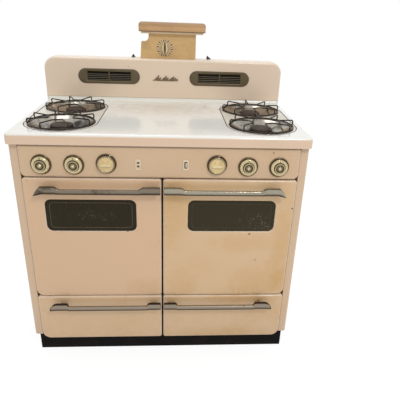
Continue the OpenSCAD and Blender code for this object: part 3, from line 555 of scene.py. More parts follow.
    def _blot(self) -> bpy.types.NodeTree:
        """One placed mark: an ellipse whose edge is torn by noise."""
        g, i, o = self._start("placed_blot", {"Vector": None, "Centre": (0.0, 0.0, 0.0), "Size": (1.0, 1.0, 1.0),
                                              "Tear": 0.6}, ["Mask"])
        away = g.node("VectorMath", {0: i["Vector"], 1: i["Centre"]}, operation="SUBTRACT").outputs[0]
        share = g.node("VectorMath", {0: away, 1: i["Size"]}, operation="DIVIDE").outputs[0]
        reach = g.node("VectorMath", {0: share}, operation="LENGTH").outputs["Value"]
        torn = g.times(g.less(g.noise(i["Vector"], 26.0, 4.0, 0.6), 0.5), i["Tear"])
        level = g.plus(reach, g.times(torn, 2.0))
        g.tree.links.new(g.less(1.0, g.spread(level, 0.25, 1.05)), o["Mask"])
        return g.tree

    def _dust(self) -> bpy.types.NodeTree:
        """Settled dust and grease: thickest on what faces up, and near the floor."""
        g, i, o = self._start("settled_dust", {"Vector": None, "Up": 0.0, "Floor": 0.1, "Top": 0.3}, ["Mask"])
        height = g.node("SeparateXYZ", {0: i["Vector"]}).outputs[2]
        low = g.times(g.spread(height, 0.0, 0.3, (1, 0)), i["Floor"])
        high = g.times(g.spread(i["Up"], 0.3, 1.0), i["Top"])
        broken = g.spread(g.noise(i["Vector"], 45.0, 4.0, 0.65), 0.3, 0.7, (0.4, 1))
        g.tree.links.new(g.times(g.plus(low, high, clamp=True), broken), o["Mask"])
        return g.tree


EFFECTS = Effects()


@dataclass(frozen=True)
class Blot:
    """A placed mark, in metres: a stain, and on the cooktop also painted shade and a painted reflection."""

    centre: tuple[float, float, float]
    size: tuple[float, float, float]
    strength: float


@dataclass(frozen=True)
class Finish:
    """A surface finish; each kind of material is a subclass that fills in its graph."""

    name: str
    slot: str
    colour: str

    def paint(self, g: Graph, shader: bpy.types.Node, vector: Socket) -> None:
        """Wires the finish into the shader; each subclass has its own."""
        raise NotImplementedError

    def material(self) -> bpy.types.Material:
        """Returns the finish's material, which is made the first time it is asked for."""
        label = f"look_{self.name}"
        made = bpy.data.materials.get(label)
        if made is None:
            made = bpy.data.materials.new(label)
            made.use_nodes = True
            made.diffuse_color = srgb(self.colour)
            g = Graph(made.node_tree)
            shader = made.node_tree.nodes["Principled BSDF"]
            vector = g.node("TexCoord").outputs["Object"]
            self.paint(g, shader, vector)
        return made

    @staticmethod
    def rolled(g: Graph) -> Socket:
        """1 where a front rolls back at its top or side edges, 0 on its face and its lower edge."""
        parts = g.node("SeparateXYZ", {0: g.node("TexCoord").outputs["Normal"]}).outputs
        away = g.less(1.0, g.math("ABSOLUTE", parts[1]))
        return g.times(g.spread(away, 0.06, 0.4), g.spread(parts[2], -0.4, 0.0))

    @staticmethod
    def facing_up(g: Graph) -> Socket:
        """How far the surface faces up, from -1 to 1, with its piece in its closed place."""
        return g.node("SeparateXYZ", {0: g.node("TexCoord").outputs["Normal"]}).outputs[2]

    @staticmethod
    def clouds(g: Graph, vector: Socket, scale: float, cover: float) -> Socket:
        """Mask of soft cloudy patches."""
        return g.group(EFFECTS.clouds, {"Vector": vector, "Scale": scale, "Cover": cover}).outputs[0]

    @staticmethod
    def blotted(g: Graph, vector: Socket, mask: Socket, blots: Sequence[Blot], tear: float = 0.6,
                through: Socket | None = None) -> Socket:
        """Adds placed blots to a mask.

        Args:
            g: The graph.
            vector: Object coordinates.
            mask: The mask so far.
            blots: Blots to add, each by its strength.
            tear: How far noise tears a blot's edge.
            through: Optional pattern that each blot shows through.

        Returns:
            The new mask.
        """
        for blot in blots:
            spot = g.group(EFFECTS.blot, {"Vector": vector, "Centre": blot.centre, "Size": blot.size,
                                          "Tear": tear}).outputs[0]
            spot = spot if through is None else g.times(spot, through)
            mask = g.plus(mask, g.times(spot, blot.strength), clamp=True)
        return mask

    @staticmethod
    def attribute(g: Graph, name: str) -> Socket:
        """Reads one of the two mesh attributes, wear or tone, as a number."""
        return g.node("Attribute", attribute_name=name).outputs["Fac"]

    @staticmethod
    def bumped(g: Graph, shader: bpy.types.Node, height: Socket, strength: float, distance: float) -> None:
        """Feeds a height through a Bump node into the shader's normal."""
        bump = g.node("Bump", {"Height": height, "Strength": strength, "Distance": distance})
        g.tree.links.new(bump.outputs[0], shader.inputs["Normal"])

    @staticmethod
    def feed(g: Graph, shader: bpy.types.Node, **values: Socket | float) -> None:
        """Links or sets the shader's inputs by name, with an underscore for each space."""
        for key, value in values.items():
            socket = shader.inputs[key.replace("_", " ")]
            if isinstance(value, Socket):
                g.tree.links.new(value, socket)
            else:
                socket.default_value = value


BAND_EDGE = 0.8 * MM


@dataclass(frozen=True)
class Enamel(Finish):
    """Vitreous enamel that has yellowed: clouds, runs, chips to the dark ground coat, and worn edges, with a
    painted highlight on rolled edges and a lighter painted colour where it faces up.

    A band is a lowest and a highest height in metres, with the colour between them; on the backguard they paint the
    cove in the cooktop's lit white and a thin line of shade at the seam.
    """

    stain_and_shade: str = "c79a62"
    cover: float = 0.4
    strength: float = 0.35
    runs: float = 0.3
    chips: float = 0.03
    rough: float = 0.2
    edge: str = "8b6a48"
    top: str | None = None
    rolled_highlight: float = 0.0
    sheen: float = 0.55
    bands: tuple[tuple[float, float, str], ...] = ()
    blots: tuple[Blot, ...] = ()
    dust: float = 0.1

    def paint(self, g: Graph, shader: bpy.types.Node, vector: Socket) -> None:
        """Layers the ground colour with its painted lit top and painted edge highlight, the stains, the chips and
        the dust.
        """
        ground: object = srgb(self.colour)
        up = self.facing_up(g)
        # Painted light: faces that look up are mixed towards the top colour, which stands for the light from above.
        if self.top is not None:
            ground = g.mix(g.spread(up, 0.1, 0.6), srgb(self.colour), srgb(self.top))
        # Painted highlight: rolled top and side edges are mixed towards pale cream.
        ground = g.mix(g.times(self.rolled(g), self.rolled_highlight), ground, srgb("f4e9da"))
        height = g.node("SeparateXYZ", {0: vector}).outputs[2]
        # Bands paint light and shade by height: a lit cove and a shaded seam line on the backguard.
        for low, high, code in self.bands:
            above = g.spread(height, low - BAND_EDGE, low + BAND_EDGE)
            below = g.spread(height, high - BAND_EDGE, high + BAND_EDGE, (1, 0))
            ground = g.mix(g.times(above, below), ground, srgb(code))
        mask = g.times(self.clouds(g, vector, 2.6, self.cover), self.strength)
        mask = self.blotted(g, vector, mask, self.blots)
        # Cloudy stains and placed blots; on the cooktop the blots are painted shade and a painted reflection.
        colour = g.mix(mask, ground, srgb(self.stain_and_shade))
        run = g.group(EFFECTS.runs, {"Vector": vector, "Cover": self.runs}).outputs[0]
        colour = g.mix(g.times(run, 0.3), colour, srgb("9a7142"))
        worn = g.times(self.attribute(g, "wear"), g.spread(g.noise(vector, 60.0, 4.0, 0.7), 0.6, 0.74))
        colour = g.mix(g.times(worn, 0.55), colour, srgb(self.edge))
        dust = g.group(EFFECTS.dust, {"Vector": vector, "Up": up, "Floor": self.dust * 2,
                                      "Top": self.dust}).outputs[0]
        colour = g.mix(dust, colour, srgb("8a7459"))
        chip = g.group(EFFECTS.chips, {"Vector": vector, "Scale": 34.0, "Density": self.chips, "Size": 0.11})
        colour = g.mix(g.times(chip.outputs[1], 0.35), colour, srgb("a0683a"))
        colour = g.mix(chip.outputs[0], colour, srgb("2b1f17"))
        rough = g.plus(self.rough, g.times(g.plus(mask, dust), 0.3))
        rough = g.plus(rough, g.times(chip.outputs[0], 0.4), clamp=True)
        self.feed(g, shader, Base_Color=colour, Roughness=rough, Specular_IOR_Level=self.sheen)
        wave = g.group(EFFECTS.ripple, {"Vector": vector}).outputs[0]
        wave = g.less(wave, g.times(chip.outputs[0], 0.12))
        self.bumped(g, shader, wave, 0.35, 0.0016)


@dataclass(frozen=True)
class Plated(Finish):
    """Plated metal that has dulled: haze, dark specks in clusters, and a second colour by tone, which is patina in
    recesses and painted shade under the handle bars.
    """

    dark: str = "2e2820"
    patina_and_shade: str = "4a3f30"
    cover: float = 0.4
    rough: float = 0.24
    metal: float = 1.0
    film: float = 0.45
    blots: tuple[Blot, ...] = ()

    def paint(self, g: Graph, shader: bpy.types.Node, vector: Socket) -> None:
        """Layers the plating, the haze, the specks and the tone colour: patina, and painted shade under the handle
        bars.
        """
        pits = g.group(EFFECTS.pits, {"Vector": vector, "Cover": self.cover})
        specks, haze = pits.outputs
        haze = self.blotted(g, vector, haze, self.blots, 1.2)
        tone = self.attribute(g, "tone")
        colour = g.mix(g.times(haze, self.film), srgb(self.colour), srgb(self.dark))
        colour = g.mix(tone, colour, srgb(self.patina_and_shade))
        colour = g.mix(specks, colour, srgb(self.dark))
        worn = g.times(self.attribute(g, "wear"), 0.5)
        colour = g.mix(worn, colour, srgb("e8e0d0"))
        dirt = g.plus(g.times(haze, 0.3), g.times(specks, 0.35), clamp=True)
        rough = g.plus(self.rough, g.plus(dirt, g.times(tone, 0.2)), clamp=True)
        metal = g.times(g.less(1.0, g.times(specks, 0.7)), self.metal)
        self.feed(g, shader, Base_Color=colour, Roughness=rough, Metallic=metal)
        height = g.less(g.noise(vector, 40.0, 2.0), g.times(specks, 0.6))
        self.bumped(g, shader, height, 0.25, 0.0006)


@dataclass(frozen=True)
class Iron(Finish):
    """Burnt iron or wire: nearly black scale with a little brown rust."""

    rust: str = "4a2c19"
    cover: float = 0.35
    rough: float = 0.5

    def paint(self, g: Graph, shader: bpy.types.Node, vector: Socket) -> None:
        """Layers the scale, the rust and a grey burnt haze."""
        rust = self.clouds(g, vector, 22.0, self.cover)
        ash = g.spread(g.noise(vector, 90.0, 4.0, 0.7), 0.55, 0.75)
        colour = g.mix(g.times(rust, 0.8), srgb(self.colour), srgb(self.rust))
        colour = g.mix(g.times(ash, 0.22), colour, srgb("8d8072"))
        rough = g.plus(self.rough, g.times(rust, 0.3), clamp=True)
        metal = g.less(0.55, g.times(rust, 0.5), clamp=True)
        self.feed(g, shader, Base_Color=colour, Roughness=rough, Metallic=metal)
        self.bumped(g, shader, g.noise(vector, 220.0, 4.0, 0.7), 0.5, 0.0005)


@dataclass(frozen=True)
class Sheet(Finish):
    """Bare or galvanised sheet: drawn grain, dull spangle and rust that creeps from damp places."""

    rust: str = "6d4526"
    cover: float = 0.3
    rough: float = 0.45

    def paint(self, g: Graph, shader: bpy.types.Node, vector: Socket) -> None:
        """Layers the grain, the spangle and the rust."""
        grain = g.noise(g.scaled(vector, (1.0, 1.0, 18.0)), 30.0, 3.0, 0.6)
        spangle = g.node("TexVoronoi", {"Vector": vector, "Scale": 55.0}).outputs["Color"]
        shade = g.node("SeparateColor", {0: spangle}).outputs[0]
        tint = g.plus(g.times(grain, 0.5), g.times(shade, 0.35))
        colour = g.mix(g.times(tint, 0.5), srgb(self.colour), srgb("c9c5bb"))
        rust = self.clouds(g, vector, 7.0, self.cover)
        colour = g.mix(g.times(rust, 0.7), colour, srgb(self.rust))
        dust = g.group(EFFECTS.dust, {"Vector": vector, "Up": self.facing_up(g), "Floor": 0.5,
                                      "Top": 0.3}).outputs[0]
        colour = g.mix(dust, colour, srgb("5d5142"))
        rough = g.plus(self.rough, g.times(g.plus(rust, dust), 0.35), clamp=True)
        metal = g.less(0.85, g.times(rust, 0.8), clamp=True)
        self.feed(g, shader, Base_Color=colour, Roughness=rough, Metallic=metal)
        self.bumped(g, shader, grain, 0.15, 0.0004)


@dataclass(frozen=True)
class Paint(Finish):
    """Painted or moulded surface: two close tones, grime in patches, and a second colour by tone."""

    second: str = "6b4a2a"
    grime: float = 0.25
    rough: float = 0.4
    metal: float = 0.0
    grain: float = 120.0
    shine: float = 0.5

    def paint(self, g: Graph, shader: bpy.types.Node, vector: Socket) -> None:
        """Layers the paint, its second colour and the grime."""
        cloud = self.clouds(g, vector, 9.0, 0.5)
        fleck = g.spread(g.noise(vector, self.grain, 3.0, 0.6), 0.5, 0.72)
        colour = g.mix(self.attribute(g, "tone"), srgb(self.colour), srgb(self.second))
        mask = g.times(cloud, self.grime)
        colour = g.mix(mask, colour, srgb("5a4229"))
        colour = g.mix(g.times(fleck, 0.12), colour, srgb("2a2019"))
        worn = g.times(self.attribute(g, "wear"), 0.4)
        colour = g.mix(worn, colour, srgb("e6d8bd"))
        rough = g.plus(self.rough, g.times(mask, 0.35), clamp=True)
        self.feed(g, shader, Base_Color=colour, Roughness=rough, Metallic=self.metal,
                  Specular_IOR_Level=self.shine)
        self.bumped(g, shader, g.noise(vector, self.grain, 3.0, 0.6), 0.15, 0.0005)


@dataclass(frozen=True)
class DarkGlass(Finish):
    """Smoked oven glass, baked dark, with smears and dried drops."""

    smear: str = "6f6654"
    amount: float = 0.25
    blots: tuple[Blot, ...] = ()

    def paint(self, g: Graph, shader: bpy.types.Node, vector: Socket) -> None:
        """Layers the glass body, a broad film and the smears."""
        film = self.clouds(g, vector, 8.0, 0.45)
        streak = g.spread(g.noise(g.scaled(vector, (6.0, 1.0, 1.0)), 22.0, 5.0, 0.7, 0.5), 0.56, 0.72)
        drops = g.spread(g.noise(vector, 120.0, 5.0, 0.75), 0.52, 0.66)
        mask = self.blotted(g, vector, g.times(g.times(film, streak), self.amount), self.blots, 1.6, drops)
        colour = g.mix(mask, srgb(self.colour), srgb(self.smear))
        rough = g.plus(0.12, g.times(g.plus(film, mask), 0.25), clamp=True)
        self.feed(g, shader, Base_Color=colour, Roughness=rough, Specular_IOR_Level=0.15)
        self.bumped(g, shader, g.noise(vector, 5.0, 1.0), 0.08, 0.001)


# ---------------------------------------------------------------- finishes

# On the fronts, the rolled edges carry a painted highlight.
DOOR_LEFT = Enamel("enamel_door_left", "enamel_front", "d9b692", cover=0.3, strength=0.3, chips=0.012, rolled_highlight=0.6,
                   blots=(Blot((-0.07, -0.3, 0.33), (0.1, 0.2, 0.05), 0.25),))
DOOR_RIGHT = Enamel("enamel_door_right", "enamel_front", "d9b890", stain_and_shade="c99c58", cover=0.45, strength=0.4,
                    runs=0.5, chips=0.06, rolled_highlight=0.6,
                    blots=(Blot((0.04, -0.3, 0.64), (0.09, 0.2, 0.13), 0.35),
                           Blot((0.06, -0.3, 0.72), (0.12, 0.2, 0.05), 0.25),
                           Blot((0.30, -0.3, 0.52), (0.16, 0.2, 0.05), 0.25),
                           Blot((0.44, -0.3, 0.50), (0.05, 0.2, 0.28), 0.35),
                           Blot((0.38, -0.3, 0.36), (0.16, 0.2, 0.09), 0.3)))
DOORS = {"left": DOOR_LEFT, "right": DOOR_RIGHT}
DRAWERS = Enamel("enamel_drawers", "enamel_front", "d9b891", stain_and_shade="c49a60", cover=0.4, strength=0.35, chips=0.02,
                 rolled_highlight=0.6,
                 blots=(Blot((0.3, -0.3, 0.27), (0.2, 0.2, 0.03), 0.35),
                        Blot((0.24, -0.3, 0.1), (0.3, 0.2, 0.05), 0.3)))
PANEL = Enamel("enamel_panel", "enamel_front", "d4b592", cover=0.3, strength=0.3, chips=0.01, rolled_highlight=0.6)
SIDES_ENAMEL = Enamel("enamel_sides", "enamel_side", "d5b899", cover=0.35, strength=0.3, chips=0.03)
# The cooktop's whitish top colour is painted light from above over the tan of its lip. Its two blots at x = 0 paint
# the shade near the backguard and the reflection of the vents; the other two are stains.
TOP = Enamel("enamel_top", "enamel_top", "e0c2a6", top="ebeae4", stain_and_shade="a8977c", cover=0.28, strength=0.16,
             runs=0.0, chips=0.03, rough=0.1, sheen=0.7, dust=0.05,
             blots=(Blot((0.475, 0.04, 0.92), (0.012, 0.012, 0.02), 0.9),
                    Blot((0.0, 0.2, 0.925), (0.34, 0.2, 0.1), 0.24),
                    Blot((0.0, 0.08, 0.925), (0.3, 0.16, 0.1), 0.18),
                    Blot((-0.35, -0.04, 0.925), (0.2, 0.33, 0.02), 0.12)))
# Painted light: the first band gives the cove the cooktop's lit white, the second is a thin painted shade line at
# the seam, and the rolled edges carry a painted highlight.
GUARD = Enamel("enamel_guard", "enamel_guard", "e0cab2", stain_and_shade="cdb08c", cover=0.3, strength=0.25, chips=0.015,
               runs=0.1, rolled_highlight=0.5, bands=((0.92, 0.9405, "e0ddd2"), (0.9405, 0.9418, "9a8468")))
TRAY = Enamel("enamel_tray", "enamel_tray", "e2ddd0", stain_and_shade="9c8a6c", cover=0.4, strength=0.6, chips=0.08,
              rough=0.28)
OVEN = Enamel("enamel_oven", "enamel_oven", "3c4148", stain_and_shade="241c15", cover=0.5, strength=0.7, chips=0.2,
              rough=0.35, dust=0.3)
BASE = Paint("base_black", "base_black", "080605", second="2a211a", grime=0.05, rough=0.55, shine=0.1)
DARK = Paint("dark_steel", "dark_steel", "29241f", second="3a2a1c", grime=0.4, rough=0.5, metal=0.2)
BARE = Sheet("bare_steel", "bare_steel", "8d8a84")
# On the handles the second colour is painted shade under the bar and soot on the shoulder tops.
CHROME = Plated("chrome_handles", "chrome_pitted", "a29b8a", cover=0.5, rough=0.2, patina_and_shade="3d3427")
CHROME_LEFT = Plated("chrome_handle_left", "chrome_pitted", "82786a", cover=0.62, rough=0.24, patina_and_shade="352c20",
                     blots=(Blot((-0.385, -0.33, 0.748), (0.03, 0.05, 0.012), 1.0),
                            Blot((-0.41, -0.33, 0.735), (0.03, 0.05, 0.012), 0.7)))
SATIN = Plated("satin_drawer_handles", "chrome_pitted", "95897a", patina_and_shade="3d3325", cover=0.35, rough=0.34)
RING = Plated("knob_rings", "chrome_pitted", "7d6f58", patina_and_shade="2f2619", cover=0.5, rough=0.22)
SKIRT = Plated("knob_skirts", "chrome_knob", "cdbd97", patina_and_shade="3f3524", cover=0.35, rough=0.2)
RIM = Plated("dial_rims", "chrome_knob", "a89a7c", patina_and_shade="4a3d2a", cover=0.4, rough=0.2)
BADGE = Plated("badge_bar", "chrome_pitted", "85765f", patina_and_shade="4a3d2c", cover=0.5, rough=0.45)
BOWL = Plated("bowl_metal", "bowl_metal", "a9a398", dark="1d1812", cover=0.62, rough=0.14, film=0.92,
              blots=(Blot((-0.31, -0.16, 0.91), (0.075, 0.1, 0.04), 1.0),
                     Blot((-0.31, 0.1, 0.91), (0.06, 0.07, 0.04), 0.7),
                     Blot((0.33, -0.16, 0.91), (0.07, 0.1, 0.04), 0.9),
                     Blot((0.38, 0.1, 0.91), (0.05, 0.06, 0.04), 0.7)))
WIRE = Iron("grate_wire", "grate_wire", "2a241e", rough=0.38)
# A dark bead that paints the shade of the tray seam, with grime.
SEAM = Paint("well_gap_shade", "grate_wire", "2a231c", second="4a3a28", grime=0.4, rough=0.5)
BURNER = Iron("burner_iron", "burner_iron", "332b24", cover=0.5)
BRASS = Plated("gas_brass", "gas_brass", "b08d4c", dark="3b2d18", cover=0.4, rough=0.35)
IVORY = Paint("dial_ivory", "dial_ivory", "e0c892", second="a8441f", grime=0.3, rough=0.3)
# The plates' second colour is painted shade on their walls, wells and slots.
PLATE = Paint("plate_ivory", "plate_ivory", "e8d3b4", second="3a2814", grime=0.1, rough=0.35)
GLASS = {"left": DarkGlass("glass_left", "window_glass", "2b2413", amount=0.3,
                           blots=(Blot((-0.25, -0.3, 0.625), (0.1, 0.2, 0.022), 0.5),)),
         "right": DarkGlass("glass_right", "window_glass", "37301e", amount=0.35,
                            blots=(Blot((0.36, -0.3, 0.6), (0.06, 0.2, 0.05), 0.9),))}
WINDOW_LINES = {"left": Paint("window_line_left", "window_glass", "6a5a44", grime=0.5, rough=0.4),
                "right": Paint("window_line_right", "window_glass", "453e2f", grime=0.5, rough=0.5)}
# The vent frames' second colour is painted shade on their walls; the blades' second colour is the near-black
# painted shade plate behind them.
VENT = Paint("vent_brown", "vent_brown", "62563f", second="181410", grime=0.3, rough=0.42, metal=0.5)
VENT_BLADES = Paint("vent_blades", "vent_brown", "17130e", second="050403", grime=0.2, rough=0.6, shine=0.1)
COLUMN = Paint("console_tan", "console_tan", "d2ad74", second="8a6f48", grime=0.2, rough=0.4)
# The hood's second colour is painted shade.
HOOD = Paint("hood_tan", "hood_tan", "cfa473", second="5f4226", grime=0.2, rough=0.35)
LENS = Paint("lens_cream", "lens_cream", "e6cfaa", second="c9a470", grime=0.15, rough=0.3)
# Its second colour prints the timer's strokes and is painted shade on the pointer.
DIAL = Paint("timer_face", "dial_ivory", "e2c89b", second="33240f", grime=0.1, rough=0.35)
ROCKER = Paint("rocker_white", "plate_ivory", "f3e9d6", second="3d2c18", grime=0.1, rough=0.3)
TUBE_WHITE = Paint("tube_white", "tube_glass", "e8e6de", second="b0aca0", grime=0.1, rough=0.2)


# ---------------------------------------------------------------- fronts


def cut_boxes(piece: bpy.types.Object, boxes: Sequence[tuple[Array, Array]]) -> None:
    """Cuts boxes, each given by its low and high corner, out of a piece's mesh."""
    work = bmesh.new()
    for low, high in boxes:
        place = Matrix.Translation((low + high) / 2) @ Matrix.Diagonal([*(high - low), 1.0])
        bmesh.ops.create_cube(work, size=1.0, matrix=place)
    mesh = bpy.data.meshes.new("notch")
    work.to_mesh(mesh)
    work.free()
    cutter = placed("notch", mesh)
    cut = piece.modifiers.new("notch", "BOOLEAN")
    cut.operation, cut.solver, cut.object = "DIFFERENCE", "EXACT", cutter
    bpy.context.view_layer.update()
    done = bpy.data.meshes.new_from_object(piece.evaluated_get(bpy.context.evaluated_depsgraph_get()))
    piece.modifiers.clear()
    piece.data = done
    bpy.data.objects.remove(cutter)


@dataclass
class PressedFront:
    """A front pressed from one sheet: a flat face that rolls back all round, open behind."""

    name: str
    body: str
    finish: Finish
    node: str
    radii: tuple[float, float, float, float]
    window: tuple[float, float, float, float] | None = None
    roll: float = 8 * MM
    sheet: float = 1.5 * MM
    window_radius: float = 22 * MM
    window_depth: float = 6 * MM
    fold: float = 3.5 * MM
    crown: float = 0.8 * MM

    def build(self) -> bpy.types.Object:
        """Carries the sheet's section round the outline, and fills the face up to its window.

        The section runs from the back rim forward, round the quarter roll of the edge and across the
        face; behind it, the same rings return one sheet's thickness further in.
        """
        low, high = box_of(self.node)
        turn = np.linspace(0, math.pi / 2, 9)
        skins = []
        for thick in (0.0, self.sheet):
            roll = self.roll - thick
            inset = np.concatenate([[0.0], roll * (1 - np.cos(turn))]) + thick
            depth = np.concatenate([[high[1]], low[1] + thick + roll * (1 - np.sin(turn))])
            rings = np.stack([self._ring(low, high, i, d) for i, d in zip(inset, depth)])
            inner = self._inner(low, high, thick)
            share = np.linspace(0, 1, 9)[1:, None, None]
            face = rings[-1][None] * (1 - share) + inner[0][None] * share
            bulge = self.crown * np.sin(share[..., 0] * math.pi / 2) if self.window is None else 0.0
            face[..., 1] = low[1] + thick - bulge
            skins.append(np.concatenate([rings, face, inner[1:]]))
        wear = np.concatenate([[0.2], np.ones(9), np.zeros(len(skins[0]) - 10)])
        shape = Shape()
        if self.window is None:
            for skin in skins:
                shape.capped(skin, wear)
            shape.grid(np.stack([skins[0][0], skins[1][0]]))
        else:
            both = np.concatenate([skins[0], skins[1][::-1]])
            shape.grid(both, looped=True, wear=np.concatenate([wear, wear[::-1] * 0.2]))
        return shape.piece(self.name, self.body, self.finish, [self.node])

    def _ring(self, low: Array, high: Array, inset: float, depth: float) -> Array:
        """Outline of the front drawn in by inset, at a depth, as points in space."""
        return standing(rounded_loop(low[0] + inset, high[0] - inset, low[2] + inset, high[2] - inset,
                                     [r - inset for r in self.radii]), depth)

    def _inner(self, low: Array, high: Array, thick: float) -> Array:
        """Rings that end the face: a folded edge into the window, or a small outline in the middle."""
        if self.window is None:
            middle = (low + high) / 2
            reach = (high - low) * 0.12
            return standing(centred_loop(middle[0], middle[2], reach[0], reach[2], 2 * MM), low[1] + thick)[None]
        turn = np.linspace(0, math.pi / 2, 6)
        out = np.concatenate([self.fold * (1 - np.sin(turn)), [0.0]]) + thick
        depth = np.concatenate([self.fold * (1 - np.cos(turn)), [self.window_depth]])
        depth += thick * np.array([1] * 6 + [0])
        return np.stack([standing(grown_loop(self.window, o, self.window_radius + o), low[1] + d)
                         for o, d in zip(out, depth)])


@dataclass
class Fronts:
    """The two doors and two drawer fronts with their windows, and two notches cut in each door's lower edge."""

    small: float = 9 * MM
    outer: float = 11 * MM
    door_corner: float = 28 * MM
    drawer_corner: float = 32 * MM
    glass_margin: float = 7 * MM
    glass_set: float = 5 * MM
    pane: float = 4 * MM
    line_inset: tuple[float, float] = (15 * MM, 13 * MM)
    line_width: float = 0.7 * MM
    arm_inset: float = 45 * MM
    arm_half: float = 4 * MM
    arm_reach: float = 3.5 * MM
    arm_rise: float = 9 * MM

    def build(self) -> None:
        """Builds the doors' skins, panes and window lines, and the drawer fronts."""
        for side, s in SIDES.items():
            self._door(side, s)
            self._drawer(side, s)

    def _radii(self, s: int, corner: float) -> tuple[float, float, float, float]:
        """Corner radii of a front, with the large one at its lower outer corner."""
        radii = (self.small, corner, self.small, self.outer)
        return radii if s > 0 else (corner, self.small, self.outer, self.small)

    def _door(self, side: str, s: int) -> None:
        """Builds one door's skin, its two panes and the line of the inner window."""
        body, node = f"door_{side}", f"door_skin_{side}"
        low, high = box_of(f"door_glass_{side}")
        edge, rim = box_of(node)
        m = self.glass_margin
        window = (low[0] + m, high[0] - m, low[2] + m, high[2] - m)
        skin = PressedFront(f"door_{side}_skin", body, DOORS[side], node,
                            self._radii(s, self.door_corner), window).build()
        cut_boxes(skin, [(np.array([x - self.arm_half, edge[1] + self.arm_reach, edge[2] - 1 * MM]),
                          np.array([x + self.arm_half, rim[1] + 1 * MM, edge[2] + self.arm_rise]))
                         for x in (edge[0] + self.arm_inset, rim[0] - self.arm_inset)])
        front = edge[1] + self.glass_set
        panes = Shape().slab(grown_loop(window, 5 * MM, 26 * MM), front, front + self.pane, 0.5 * MM)
        panes.slab(grown_loop(window, -4 * MM, 12 * MM), high[1] - self.pane, high[1], 0.5 * MM)
        panes.piece(f"door_{side}_glass", body, GLASS[side], [f"door_glass_{side}"])
        in_x, in_z = self.line_inset
        line = rounded_loop(window[0] + in_x, window[1] - in_x, window[2] + in_z, window[3] - in_z, [13 * MM] * 4)
        Shape().grid(tube(standing(line, front), self.line_width, 8, closed=True), looped=True).piece(
            f"door_{side}_window_line", body, WINDOW_LINES[side])

    def _drawer(self, side: str, s: int) -> None:
        """Builds one drawer front."""
        PressedFront(f"drawer_{side}_skin", f"drawer_{side}", DRAWERS, f"drawer_front_{side}",
                     self._radii(s, self.drawer_corner)).build()


class Grip(Enum):
    """The two kinds of bar handle."""

    DOOR = "door"
    DRAWER = "drawer"


@dataclass(frozen=True)
class BarSizes:
    """Lengths along a bar, from its inner or its outer end, and how far its shoulders rise."""

    rise: float
    inner_step: tuple[float, float]
    outer_step: tuple[float, float]
    end: float
    drop: float
    outer_foot: float
    soot: float


BAR_SIZES = {
    Grip.DOOR: BarSizes(8 * MM, (56 * MM, 80 * MM), (92 * MM, 66 * MM), 28 * MM, 6 * MM, 64 * MM, 0.45),
    Grip.DRAWER: BarSizes(10 * MM, (46 * MM, 56 * MM), (74 * MM, 64 * MM), 30 * MM, 0.0, 60 * MM, 0.95),
}


